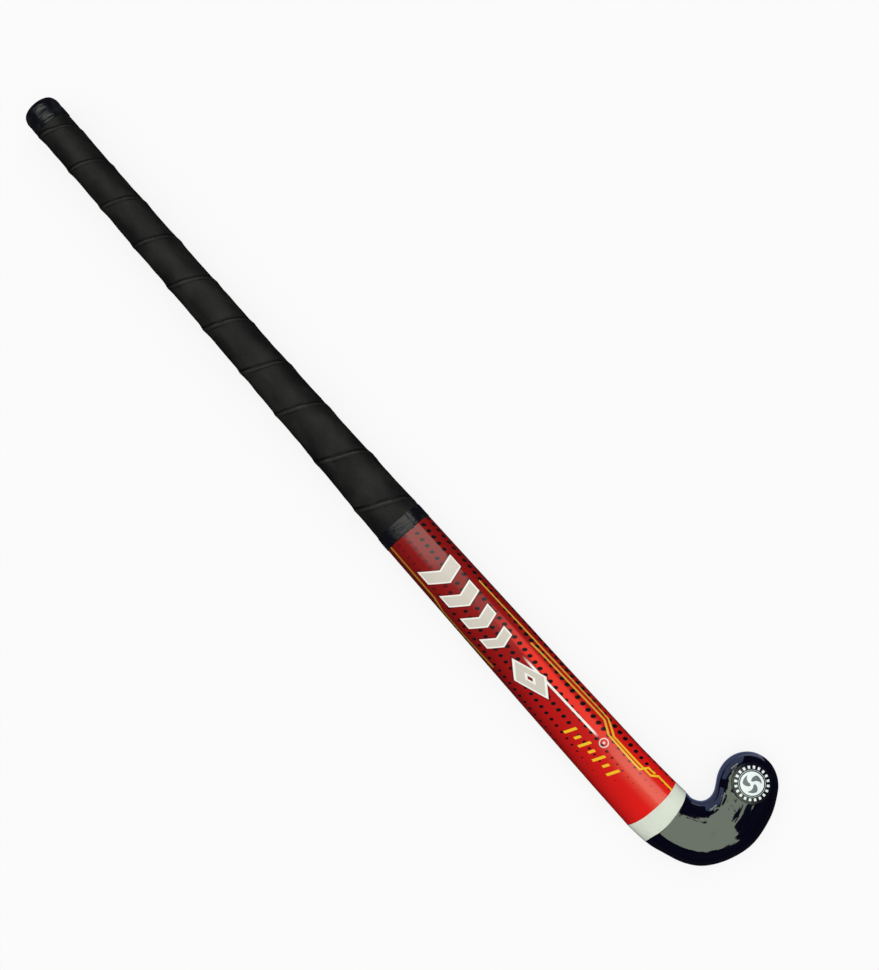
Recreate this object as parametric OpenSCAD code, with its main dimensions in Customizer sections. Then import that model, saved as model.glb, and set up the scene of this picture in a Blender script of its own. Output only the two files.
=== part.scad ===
// Wooden field hockey stick, lying on its flat playing face.
// +X runs from butt to heel, +Y points to the toe, +Z comes out of the rounded back.
// The origin is the middle of the footprint, on the plane of the playing face.
// Lofted pieces are built from ribs: a rib is a cross-section that stands upright
// on a line from the heel side to the toe side of the stick.

/* [Stick] */
// Nominal length from the butt to the heel
stick_len = 864; // [840:2:900]
// Width of the shaft where it starts to flare into the head
shaft_w = 50.9; // [48:0.1:51]
// Thickness of the shaft at the collar band
shaft_t = 22; // [20:0.5:24]

/* [Handle] */
// Diameter over the grip near the butt
handle_d = 31.8; // [30:0.2:34]
// Distance from the butt to the lower end of the grip
grip_end = 478; // [470:1:500]
// Width over the grip at its lower end
grip_end_w = 44.8; // [42:0.2:46]
// Thickness over the grip at its lower end
grip_end_t = 27.5; // [26:0.5:29]
// Thickness of the grip tape, overlaps included
grip_t = 1.8; // [1.2:0.1:2.2]
// Thickness of the underlay tape
underlay_t = 0.8; // [0.5:0.1:1]
// Thickness of the finishing tape over the butt
butt_tape_t = 0.5; // [0.3:0.1:1]
// Length of the finishing tape over the butt
butt_tape_len = 20.5; // [16:0.5:30]
// Length of the lower finishing tape
lower_tape_len = 13; // [10:1:20]
// Thickness of the lower finishing tape, which stands proud of the grip
lower_tape_t = 0.4; // [0.2:0.1:0.5]

/* [Core] */
// Thickness of a rubber spring between two handle slips
spring_t = 1.2; // [0.8:0.1:2]
// Length of the wedge that joins the handle to the head's wood
splice_len = 150; // [120:5:170]

/* [Head] */
// Thickness of the head at the heel
head_t = 22.5; // [20:0.5:24]
// Thickness of the head at the toe
toe_t = 21; // [19:0.5:23]
// Thickness of the lacquered glass-cloth skin
skin_t = 1.1; // [0.8:0.1:1.5]
// Radius of the round sticker on the toe
roundel_r = 16.5; // [10:0.5:17]

/* [Shaft skins] */
// Thickness of the glass-fibre sleeve
sleeve_t = 0.8; // [0.5:0.1:1]
// Thickness of the printed film
film_t = 0.3; // [0.2:0.05:0.4]
// Thickness of the collar band
band_t = 0.4; // [0.3:0.05:0.5]

/* [Hidden] */

$fn = 64;

handle_r = handle_d / 2;        // radius over the grip near the butt
tape_gap = 0.05;                // between the grip and the tape over it
butt_r = handle_r + tape_gap + butt_tape_t;
handle_z = butt_r;              // height of the handle's axis, so that the butt tape rests on z = 0
neck_x = stick_len - 78;        // rib where the shaft ends and the collar band starts
flare_x = neck_x - 37;          // rib where the shaft starts to flare
shoulder_x = grip_end + 1;      // the wood steps up here, so that the grip ends flush with the film
splice_start = grip_end + 8;
splice_end = splice_start + splice_len;
heel_side = grip_end_w / 2;     // the heel side of the shaft runs straight at this distance at first

// Ribs of the head: toe-side end, heel-side end and thickness, seen from the heel's far end.
// The first and the last only steer the curve.
HEAD_RIBS = [
    [[-93, 30.6], [-93, -21.9], shaft_t],
    [[-78, 31.3], [-78, -21.4], shaft_t],
    [[-65.6, 32.2], [-56.6, -18.9], shaft_t],
    [[-59.2, 32.6], [-42.9, -14.5], shaft_t],
    [[-53.4, 36.1], [-25.8, -7.1], head_t],
    [[-50.8, 40.5], [-13, 4.2], head_t],
    [[-50.5, 45.5], [-4.1, 22.9], head_t],
    [[-52.1, 50.2], [-1, 45.6], head_t],
    [[-55.3, 54.8], [-7.5, 70.7], toe_t],
    [[-58, 58.2], [-18.6, 88.5], toe_t],
    [[-59.7, 60.5], [-27, 96.1], toe_t]
];
last_rib = len(HEAD_RIBS) - 3;  // number of the rib where the round end of the toe starts
toe_len = 27.1;                   // length of the round end of the toe

face_corner_w = 5;              // width of the rounding between the face and a side
face_corner_h = 6.5;            // height of that rounding
back_crown = 2.8;               // exponent of the rounded back, where 2 is an ellipse
ring_points = 16;               // points along the top of a lofted ring, and again along its underside
core_gap = 0.05;                // glue line between neighbouring pieces of wood
skin_gap = 0.25;                // resin between the wood and what is laid or wound round it
ply_count = 7;
slip_count = 3;

// ---- Sizes along the stick ----

function shaft_width(x) = lookup(x, [
    [75, handle_d], [200, handle_d + 2.4], [300, handle_d + 4.7], [400, grip_end_w - 4.7],
    [splice_start, grip_end_w],
    [flare_x, shaft_w], [neck_x, HEAD_RIBS[1][0].y - HEAD_RIBS[1][1].y]]);
function heel_reach(x) = lookup(x, [
    [flare_x - 90, heel_side], [flare_x, heel_side - 0.5], [neck_x, -HEAD_RIBS[1][1].y]]);
function shaft_thick(x) = lookup(x, [
    [120, handle_d], [300, handle_d - 1], [splice_start, grip_end_t], [600, (grip_end_t + shaft_t) / 2],
    [neck_x, shaft_t]]);
function shaft_floor(x) = lookup(x, [
    [300, handle_z - handle_r], [splice_start, lower_tape_t + 0.1], [splice_end, 0]]);
// 1 is an oval section, 0 a flat-faced one with a rounded back
function shaft_roundness(x) = lookup(x, [[150, 1], [splice_start, 0.3], [620, 0]]);
// how far the wood lies under the outer surface
function wood_depth(x) = skin_gap
    + (x < shoulder_x ? grip_t + underlay_t + sleeve_t : x <= neck_x ? film_t + sleeve_t : skin_t);

// ---- Ribs ----

function catmull(a, b, c, d, t) =
    b + (c - a) * t / 2 + (2 * a - 5 * b + 4 * c - d) * t * t / 2
    + (3 * b - a - 3 * c + d) * t * t * t / 2;
function between(low, high, share) = low + (high - low) * share;

// A rib is [centre, direction to the toe side, half-width, thickness, floor height, roundness].
function rib_from(toe, heel, thick, floor_z, roundness) =
    [(toe + heel) / 2, (toe - heel) / norm(toe - heel), norm(toe - heel) / 2, thick, floor_z, roundness];
function shaft_rib(x) =
    let (heel = -min(shaft_width(x) / 2, heel_reach(x)))
    rib_from([x, heel + shaft_width(x)], [x, heel], shaft_thick(x), shaft_floor(x),
             shaft_roundness(x));
function head_curve(u, column) =
    let (i = min(floor(u), last_rib - 1))
    catmull(HEAD_RIBS[i][column], HEAD_RIBS[i + 1][column], HEAD_RIBS[i + 2][column],
            HEAD_RIBS[i + 3][column], u - i);
function head_rib(u) =
    rib_from(head_curve(u, 0) + [stick_len, 0], head_curve(u, 1) + [stick_len, 0],
             head_curve(u, 2), 0, 0);

// Direction of travel along the stick at a rib
function forward(rib) = [rib[1].y, -rib[1].x];

// The section of a rib, at a depth under its outer surface
function half_width(rib, depth) = rib[2] - depth;
function thickness(rib, depth) = rib[3] - 2 * depth;
function corner_w(rib, depth) =
    between(face_corner_w, rib[2], rib[5]) * half_width(rib, depth) / rib[2];
function corner_h(rib, depth) =
    between(face_corner_h, rib[3] / 2, rib[5]) * thickness(rib, depth) / rib[3];
function crown(rib) = between(back_crown, 2, rib[5]);

// Heights of the back and of the face, where reach is 0 on the rib's middle and 1 on its rim
function back_z(rib, depth, reach) =
    let (low = corner_h(rib, depth), rise = thickness(rib, depth) - low)
    rib[4] + depth + low + rise * pow(max(0, 1 - pow(reach, crown(rib))), 1 / crown(rib));
function face_z(rib, depth, reach) =
    let (inset = (1 - reach) * half_width(rib, depth) / corner_w(rib, depth))
    rib[4] + depth + (inset >= 1 ? 0 : corner_h(rib, depth) * (1 - sqrt(max(0, 1 - pow(1 - inset, 2)))));

// A point of a rib at a share of its half-width, moved forward by a share of the toe's round end
function on_rib(rib, depth, across, ahead) =
    rib[0] + rib[1] * across * half_width(rib, depth) + forward(rib) * ahead * (toe_len - depth);
function reach_of(across, ahead) = min(1, norm([across, ahead]));

// A closed ring round a rib: over the back from the toe side, then home along the face
function ring(rib, depth, count = ring_points, ahead = 0) =
    let (span = sqrt(1 - ahead * ahead))
    [for (i = [0 : 2 * count - 1])
        let (turn = cos(180 * i / count),
             across = span * sign(turn) * pow(abs(turn), 2 / crown(rib)),
             reach = reach_of(across, ahead),
             z = i <= count ? back_z(rib, depth, reach) : face_z(rib, depth, reach))
        concat(on_rib(rib, depth, across, ahead), z)];

// ---- Lofts ----

function join(rings) = [for (r = rings) each r];
function side_faces(rows, count, start, flip) = [
    for (j = [0 : rows - 2], i = [0 : count - 1])
        let (a = start + j * count + i, b = start + j * count + (i + 1) % count)
        each (flip ? [[a, b, b + count], [a, b + count, a + count]]
                   : [[a, a + count, b + count], [a, b + count, b]])];
function loop(start, count, flip) =
    [for (i = [0 : count - 1]) start + (flip ? count - 1 - i : i)];
function end_faces(first, second, count, flip) = [
    for (i = [0 : count - 1])
        let (k = (i + 1) % count)
        each (flip ? [[first + i, second + k, second + i], [first + i, first + k, second + k]]
                   : [[first + i, second + i, second + k], [first + i, second + k, first + k]])];

// The end of a loft whose ring goes out along one side and home along the other
function strip_faces(start, count, flip) = [
    for (i = [0 : count / 2 - 2])
        let (a = start + i, b = a + 1, d = start + count - 1 - i, c = d - 1)
        each (flip ? [[a, c, b], [a, d, c]] : [[a, b, c], [a, c, d]])];

// A solid through a list of rings
module loft(rings) {
    count = len(rings[0]);
    last = (len(rings) - 1) * count;
    polyhedron(join(rings), concat(strip_faces(0, count, false), strip_faces(last, count, true),
                                   side_faces(len(rings), count, 0, false)));
}

// A tube between outer and inner rings, with a closed far end when it is a cap
module shell(outer, inner, closed = false) {
    count = len(outer[0]);
    inside = len(outer) * count;
    last_out = inside - count;
    last_in = inside + (len(inner) - 1) * count;
    polyhedron(join(concat(outer, inner)), concat(
        side_faces(len(outer), count, 0, false),
        side_faces(len(inner), count, inside, true),
        end_faces(0, inside, count, true),
        closed ? [loop(last_out, count, true), loop(last_in, count, false)]
               : end_faces(last_out, last_in, count, false)));
}

// A tube along the shaft through the listed stations
module shaft_tube(stations, outer_depth, inner_depth, count = ring_points) {
    shell([for (x = stations) ring(shaft_rib(x), outer_depth, count)],
          [for (x = stations) ring(shaft_rib(x), inner_depth, count)]);
}

// Everything is drawn with the butt at x = 0 and the handle's axis at y = 0, then centred.
outline = [for (u = [0 : 0.125 : last_rib], side = [-1, 1]) on_rib(head_rib(u), 0, side, 0)];
tip = [for (a = [0 : 5 : 180]) on_rib(head_rib(last_rib), 0, cos(a), sin(a))];
far_x = max([for (p = outline) p.x]);
far_y = max([for (p = tip) p.y]);
mid_y = (far_y - heel_side - lower_tape_t) / 2;

module place() {
    translate([-far_x / 2, -mid_y, 0]) children();
}

// ---- Handle ----

cap_len = 5;
cap_round = 3.5;
module butt_cap() {
    color([0.06, 0.06, 0.06])
    place() translate([0, 0, handle_z]) rotate([0, 90, 0]) rotate_extrude() {
        translate([0, cap_round]) square([handle_r, cap_len - cap_round]);
        square([handle_r - cap_round, cap_len]);
        intersection() {
            translate([handle_r - cap_round, cap_round]) circle(cap_round);
            square([handle_r, cap_round]);
        }
    }
}

tape_start = 1.5;
module butt_tape() {
    color([0.1, 0.1, 0.1])
    place() translate([tape_start, 0, handle_z]) rotate([0, 90, 0]) difference() {
        cylinder(r = butt_r, h = butt_tape_len);
        translate([0, 0, -1]) cylinder(r = handle_r + tape_gap, h = butt_tape_len + 2);
    }
}

grip_stations = [cap_len, 60, 120, 180, 240, 300, 350, 400, 440, grip_end];
module grip_wrap() {
    color([0.14, 0.14, 0.13])
    place() shaft_tube(grip_stations, 0, grip_t);
}

module grip_underlay() {
    color([0.45, 0.45, 0.42])
    place() shaft_tube(grip_stations, grip_t, grip_t + underlay_t);
}

// Twine wound round the handle just above the splice, with a groove between two turns
twine_turns = 9;
twine_pitch = 5;
twine_groove = 0.3;
module twine_binding() {
    start = grip_end - twine_turns * twine_pitch;
    turns = [for (i = [0 : 2 * twine_turns])
        [start + i * twine_pitch / 2, i % 2 == 0 ? twine_groove : 0]];
    depth = grip_t + underlay_t + skin_gap / 2;
    color([0.8, 0.72, 0.5])
    place() shell([for (t = turns) ring(shaft_rib(t[0]), depth + t[1], 12)],
                  [for (t = turns) ring(shaft_rib(t[0]), depth + sleeve_t, 12)]);
}

module lower_tape() {
    start = grip_end - 2;
    color([0.08, 0.08, 0.12])
    place() shaft_tube([start, splice_start, start + lower_tape_len], -lower_tape_t, 0);
}

// ---- Core of the handle ----

// Half the width of the handle's wedge, which fills the whole shaft where the splice starts
wood_start = half_width(shaft_rib(splice_start), wood_depth(splice_start));
wood_end = half_width(shaft_rib(splice_end), wood_depth(splice_end));
wedge_tip = wood_end / ply_count;   // half the blunt tip, which meets the middle ply
function wedge_half(x) =
    x < splice_start ? shaft_w
    : between(wood_start, wedge_tip, (x - splice_start) / splice_len);
// Station where the wedge clears a column of the head's wood
function clear_x(across) =
    splice_start + splice_len * min(1, wood_start * (1 - abs(across))
        / (abs(across) * (wood_end - wood_start) + wood_start - wedge_tip));

// Share of the half-width that a rib reaches at a share of its thickness
function reach_at(rib, depth, share) =
    let (z = share * thickness(rib, depth), low = corner_h(rib, depth),
         over = min(1, max(0, (z - low) / (thickness(rib, depth) - low))),
         under = min(1, max(0, z / low)),
         edge = corner_w(rib, depth) / half_width(rib, depth))
    z >= low ? pow(1 - pow(over, crown(rib)), 1 / crown(rib))
             : 1 - edge * (1 - sqrt(1 - pow(1 - under, 2)));

// A layer of the handle between two shares of its thickness
layer_steps = 4;
layer_trim = 0.03;
handle_stations = [cap_len, 60, 120, 200, 300, 400, shoulder_x - 0.5, shoulder_x + 0.5, splice_start,
                   splice_start + splice_len / 3, splice_start + splice_len * 2 / 3, splice_end];
module handle_layer(low, high) {
    first = max(low, layer_trim);
    last = min(high, 1 - layer_trim);
    shares = [for (k = [0 : layer_steps]) between(first, last, k / layer_steps)];
    loft([for (x = handle_stations)
        let (rib = shaft_rib(x), depth = wood_depth(x), wide = half_width(rib, depth),
             halves = [for (s = shares) min(wedge_half(x), reach_at(rib, depth, s) * wide) - core_gap],
             heights = [for (s = shares) rib[4] + depth + s * thickness(rib, depth)])
        concat([for (k = [layer_steps : -1 : 0]) [x, rib[0].y - halves[k], heights[k]]],
               [for (k = [0 : layer_steps]) [x, rib[0].y + halves[k], heights[k]]])]);
}

spring_share = spring_t / handle_d;
slip_share = (1 - (slip_count - 1) * spring_share) / slip_count;
function layer_start(i) = i * (slip_share + spring_share);

module handle_slip(i) {
    color([0.85, 0.7, 0.45])
    place() handle_layer(layer_start(i), layer_start(i) + slip_share);
}

module rubber_spring(i) {
    color([0.2, 0.2, 0.2])
    place() handle_layer(layer_start(i) + slip_share, layer_start(i + 1));
}

// ---- Shaft skins ----

skin_stations = [shoulder_x + 0.5, splice_start, 540, 590, splice_end, 690, flare_x, neck_x];
module glass_sleeve() {
    color([0.75, 0.8, 0.7])
    place() shaft_tube(skin_stations, film_t, film_t + sleeve_t);
}

module shaft_film() {
    color([0.75, 0.12, 0.08])
    place() shaft_tube(skin_stations, 0, film_t);
}

band_steps = [0 : 0.25 : 1];    // rib numbers under the collar band
module collar_band() {
    color([0.85, 0.87, 0.8])
    place() shell([for (u = band_steps) ring(head_rib(u), 0)],
                  [for (u = band_steps) ring(head_rib(u), band_t)]);
}

// ---- Head ----

toe_angles = [10, 20, 30, 40, 50, 60, 70, 78, 84, 88.5];
function head_steps(from) = [for (u = [from : 1 / 3 : last_rib + 0.01]) u];
// Rings round the head from a rib to the tip of the toe
function head_rings(from, depth) = concat(
    [for (u = head_steps(from)) ring(head_rib(u), depth)],
    [for (a = toe_angles) ring(head_rib(last_rib), depth, ring_points, sin(a))]);

face_cut = 0.02;                // planed off the playing face, so that it is one flat surface
module head_skin() {
    under_band = [for (u = band_steps) ring(head_rib(u), band_t + skin_gap / 5)];
    color([0.03, 0.03, 0.12])
    place() intersection() {
        translate([0, 0, -face_cut])
            shell(concat(under_band, head_rings(1, 0)),
                  concat([for (u = band_steps) ring(head_rib(u), skin_t)], head_rings(1, skin_t)), true);
        translate([neck_x - 1, -stick_len / 4, 0]) cube([stick_len / 4, stick_len / 2, 2 * head_t]);
    }
}

// A ply fills a strip of the wood between two equal shares of the width, from the heel side on.
// Its columns stand closer together towards the rounded rim.
ply_steps = 3;
toe_shares = [0.4, 0.7, 0.86, 0.93];    // how far round the toe's end the last rings of a ply go
ply_trim = 0.975;
function strip(i) =
    let (low = max(-ply_trim, 2 * i / ply_count - 1),
         high = min(ply_trim, 2 * (i + 1) / ply_count - 1))
    [for (k = [0 : ply_steps]) sin(between(asin(low), asin(high), k / ply_steps))];
module head_ply(i) {
    gap = core_gap / wood_start;
    across = strip(i);
    columns = [for (k = [0 : ply_steps])
        across[k] + (k == 0 ? gap : k == ply_steps ? -gap : 0)];
    starts = [for (c = columns) clear_x(c)];
    still = [for (c = columns) 0];
    color([0.8, 0.62, 0.36])
    place() loft(concat(
        [ply_ring([for (x = starts) shaft_rib(x)], columns, still)],
        [for (x = [splice_end + 1, 690, flare_x])
            ply_ring([for (c = columns) shaft_rib(x)], columns, still)],
        [for (u = head_steps(0)) ply_ring([for (c = columns) head_rib(u)], columns, still)],
        [for (v = toe_shares)
            ply_ring([for (c = columns) head_rib(last_rib)], columns,
                     [for (c = columns) v * sqrt(1 - c * c)])]));
}
// A ring of a ply: each column has its own rib and its own step forward round the toe
function ply_ring(ribs, columns, ahead) =
    let (depth = skin_t + skin_gap,
         spot = [for (k = [0 : ply_steps]) on_rib(ribs[k], depth, columns[k], ahead[k])],
         reach = [for (k = [0 : ply_steps]) reach_of(columns[k], ahead[k])])
    concat([for (k = [ply_steps : -1 : 0]) concat(spot[k], back_z(ribs[k], depth, reach[k]))],
           [for (k = [0 : ply_steps]) concat(spot[k], face_z(ribs[k], depth, reach[k]))]);

// A round sticker that follows the back of the toe
roundel_ahead = 3.6;            // how far past the start of the toe's round end its centre lies
roundel_aside = -1.2;           // how far its centre lies to the toe side of the middle
roundel_t = 0.25;
roundel_gap = 0.12;             // adhesive under the sticker
module toe_roundel() {
    rib = head_rib(last_rib);
    rings = [for (r = [0.1 : 0.3 : 1]) [for (a = [0 : 15 : 359])
        let (side = roundel_aside + r * roundel_r * cos(a),
             step = roundel_ahead + r * roundel_r * sin(a),
             reach = norm([side / rib[2], max(0, step) / toe_len]))
        concat(rib[0] + rib[1] * side + forward(rib) * step, back_z(rib, -roundel_gap, reach))]];
    color([0.9, 0.9, 0.9])
    place() shell([for (r = rings) [for (p = r) p + [0, 0, roundel_t]]], rings);
}

butt_cap();
butt_tape();
grip_wrap();
grip_underlay();
twine_binding();
lower_tape();
handle_slip(0);  // handle_slip_1
handle_slip(1);  // handle_slip_2
handle_slip(2);  // handle_slip_3
rubber_spring(0);  // rubber_spring_1
rubber_spring(1);  // rubber_spring_2
glass_sleeve();
shaft_film();
collar_band();
head_skin();
toe_roundel();
head_ply(0);  // head_ply_1
head_ply(1);  // head_ply_2
head_ply(2);  // head_ply_3
head_ply(3);  // head_ply_4
head_ply(4);  // head_ply_5
head_ply(5);  // head_ply_6
head_ply(6);  // head_ply_7
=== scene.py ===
"""Wooden field hockey stick: taped handle, printed shaft, pale collar and lacquered hooked head.

Sizes are in millimetres on the stick itself: the butt is at 0, the handle's axis at y = 0 and the
playing face at z = 0. StickForm.place turns them into metres in the shared frame.
"""

import logging
import math
from collections.abc import Callable, Iterator, Sequence
from contextlib import contextmanager
from dataclasses import dataclass, field
from enum import Enum

import bpy
import numpy as np
from mathutils import Matrix


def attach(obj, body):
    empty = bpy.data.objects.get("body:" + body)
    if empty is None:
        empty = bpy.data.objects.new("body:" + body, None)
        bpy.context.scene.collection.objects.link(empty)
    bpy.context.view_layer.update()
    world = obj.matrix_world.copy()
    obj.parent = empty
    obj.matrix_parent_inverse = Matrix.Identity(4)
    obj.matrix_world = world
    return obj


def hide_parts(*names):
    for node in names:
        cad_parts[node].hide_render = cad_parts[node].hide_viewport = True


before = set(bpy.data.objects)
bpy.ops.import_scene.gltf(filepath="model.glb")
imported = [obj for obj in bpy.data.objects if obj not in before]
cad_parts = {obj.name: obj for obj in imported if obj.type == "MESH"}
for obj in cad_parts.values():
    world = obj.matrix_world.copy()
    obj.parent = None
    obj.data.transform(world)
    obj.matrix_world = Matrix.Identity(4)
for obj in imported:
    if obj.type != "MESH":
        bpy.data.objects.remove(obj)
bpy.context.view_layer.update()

LOG = logging.getLogger("hockey_stick")
MM = 0.001
BODY = "root"


# ---- The stick's shape ----


def blend(low: float, high: float, share: float) -> float:
    """Returns the value at a share of the way from low to high."""
    return low + (high - low) * share


def smooth(value: np.ndarray, start: float, end: float) -> np.ndarray:
    """Returns 0 before start, 1 after end and a soft step between them."""
    share = np.clip((np.asarray(value, float) - start) / (end - start), 0.0, 1.0)
    return share * share * (3.0 - 2.0 * share)


@dataclass(frozen=True)
class Lumps:
    """Soft unevenness: a few sine waves with phases drawn from a seed.

    Each wave has its length along the piece in mm and its number of whole waves around the piece.
    """

    waves: tuple[tuple[float, int], ...]
    seed: int

    def height(self, along: np.ndarray, around: np.ndarray) -> np.ndarray:
        """Sums the waves.

        Args:
            along: Place along the piece, in mm.
            around: Turn round the piece, from 0 to 1.

        Returns:
            A height from about -1 to 1 for each point.
        """
        phases = np.random.default_rng(self.seed).uniform(0.0, 2.0 * math.pi, len(self.waves))
        total = sum(
            np.sin(2.0 * math.pi * (along / length + turns * around) + phase)
            for (length, turns), phase in zip(self.waves, phases)
        )
        return total / len(self.waves) ** 0.5


@dataclass(frozen=True)
class Rib:
    """A cross-section standing upright on a line from the heel side to the toe side, in mm.

    Its flat face lies at the floor, its corners there are quarter ellipses, and crown is the exponent of its
    rounded back, where 2 is an ellipse. A roundness of 1 makes the whole section an ellipse.
    """

    toe: tuple[float, float]
    heel: tuple[float, float]
    thick: float
    floor: float = 0.0
    roundness: float = 0.0
    corner_w: float = 5.0
    corner_h: float = 6.5
    crown: float = 2.8
    dense: int = 360

    @property
    def middle(self) -> np.ndarray:
        """The middle of the rib's line."""
        return (np.array(self.toe) + np.array(self.heel)) / 2.0

    @property
    def half(self) -> float:
        """Half the rib's width."""
        return math.dist(self.toe, self.heel) / 2.0

    @property
    def side(self) -> np.ndarray:
        """The direction towards the toe side."""
        return (np.array(self.toe) - np.array(self.heel)) / (2.0 * self.half)

    @property
    def forward(self) -> np.ndarray:
        """The direction of travel along the stick."""
        return np.array([self.side[1], -self.side[0]])

    def outline(self, sides: int, lift: float = 0.0, ahead: float = 0.0,
                reach_ahead: float = 0.0) -> tuple[np.ndarray, np.ndarray]:
        """Points evenly spaced round the section, from the top over the toe side and home.

        Args:
            sides: How many points.
            lift: How far outside the surface they lie.
            ahead: Share of the toe's round end that the section is moved forward.
            reach_ahead: Length of that round end.

        Returns:
            The points, and each one's girth: its distance round the section from the top.
        """
        wide = self.half + lift
        tall = self.thick + 2.0 * lift
        low = blend(self.corner_h, self.thick / 2.0, self.roundness) * tall / self.thick
        edge = blend(self.corner_w, self.half, self.roundness) * wide / self.half
        power = blend(self.crown, 2.0, self.roundness)
        span = math.sqrt(max(0.0, 1.0 - ahead * ahead))
        turn = np.linspace(0.0, math.pi / 2.0, self.dense)
        over = span * np.sin(turn) ** (2.0 / power)
        under = span * np.sin(turn[::-1])
        top = np.clip(np.hypot(over, ahead), 0.0, 1.0)
        base = np.clip(np.hypot(under, ahead), 0.0, 1.0)
        inset = np.clip((1.0 - base) * wide / edge, 0.0, 1.0)
        across = np.concatenate([over, under])
        height = np.concatenate([
            low + (tall - low) * (1.0 - top**power) ** (1.0 / power),
            low * (1.0 - np.sqrt(np.clip(1.0 - (1.0 - inset) ** 2, 0.0, 1.0))),
        ]) + self.floor - lift
        across = np.concatenate([across, -across[::-1]]) * wide
        height = np.concatenate([height, height[::-1]])
        step = np.hypot(np.diff(across), np.diff(height))
        length = np.concatenate([[0.0], np.cumsum(step)])
        girth = np.arange(sides) * length[-1] / sides
        share = np.interp(girth, length, across)
        flat = self.middle + np.outer(share, self.side)
        flat = flat + self.forward * ahead * (reach_ahead + lift)
        points = np.column_stack([flat, np.interp(girth, length, height)])
        return points, np.where(girth > length[-1] / 2.0, girth - length[-1], girth)


Table = tuple[tuple[float, ...], tuple[float, ...]]


@dataclass(frozen=True)
class StickForm:
    """The outer form of the whole stick, as the CAD has it.

    A table holds distances from the butt and the sizes there. A row of head_ribs holds the toe end and the heel
    end of a rib, each as a distance past the stick's nominal length and a distance from the handle's axis, and
    the head's thickness. The first and the last row only guide the curve.
    """

    length: float = 864.0
    reach: float = 863.112
    mid_y: float = 38.4185
    neck: float = 786.0
    toe_length: float = 27.1
    widths: Table = ((75, 200, 300, 400, 486, 749, 786), (31.8, 34.2, 36.5, 40.1, 44.8, 50.9, 52.7))
    heel_reach: Table = ((659, 749, 786), (22.4, 21.9, 21.4))
    thicknesses: Table = ((120, 300, 486, 600, 786), (31.8, 30.8, 27.5, 24.75, 22.0))
    floors: Table = ((300, 486, 636), (0.55, 0.5, 0.0))
    roundings: Table = ((150, 486, 620), (1.0, 0.3, 0.0))
    head_ribs: tuple[tuple[float, ...], ...] = (
        (-93, 30.6, -93, -21.9, 22),
        (-78, 31.3, -78, -21.4, 22),
        (-65.6, 32.2, -56.6, -18.9, 22),
        (-59.2, 32.6, -42.9, -14.5, 22),
        (-53.4, 36.1, -25.8, -7.1, 22.5),
        (-50.8, 40.5, -13, 4.2, 22.5),
        (-50.5, 45.5, -4.1, 22.9, 22.5),
        (-52.1, 50.2, -1, 45.6, 22.5),
        (-55.3, 54.8, -7.5, 70.7, 21),
        (-58, 58.2, -18.6, 88.5, 21),
        (-59.7, 60.5, -27, 96.1, 21),
    )

    @property
    def last_rib(self) -> int:
        """Number of the rib where the round end of the toe starts."""
        return len(self.head_ribs) - 3

    def shaft_rib(self, x: float) -> Rib:
        """Reads the tables.

        Args:
            x: Distance from the butt, in mm.

        Returns:
            The section of the handle or shaft there.
        """
        wide = float(np.interp(x, *self.widths))
        heel = -min(wide / 2.0, float(np.interp(x, *self.heel_reach)))
        thick, floor, rounding = (
            float(np.interp(x, *table)) for table in (self.thicknesses, self.floors, self.roundings)
        )
        return Rib((x, heel + wide), (x, heel), thick, floor, rounding)

    def head_rib(self, u: float) -> Rib:
        """Runs a smooth curve through the head's ribs.

        Args:
            u: Number of the rib, which may lie between two ribs.

        Returns:
            The section of the head there.
        """
        i = min(int(u), self.last_rib - 1)
        a, b, c, d = (np.array(self.head_ribs[i + k], float) for k in range(4))
        t = u - i
        row = b + (c - a) * t / 2.0 + (2.0 * a - 5.0 * b + 4.0 * c - d) * t**2 / 2.0
        row = row + (3.0 * b - a - 3.0 * c + d) * t**3 / 2.0
        return Rib((row[0] + self.length, row[1]), (row[2] + self.length, row[3]), float(row[4]))

    def place(self, points: np.ndarray) -> np.ndarray:
        """Points of the stick in millimetres, in metres in the shared frame."""
        return (points - np.array([self.reach / 2.0, self.mid_y, 0.0])) * MM


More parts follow.
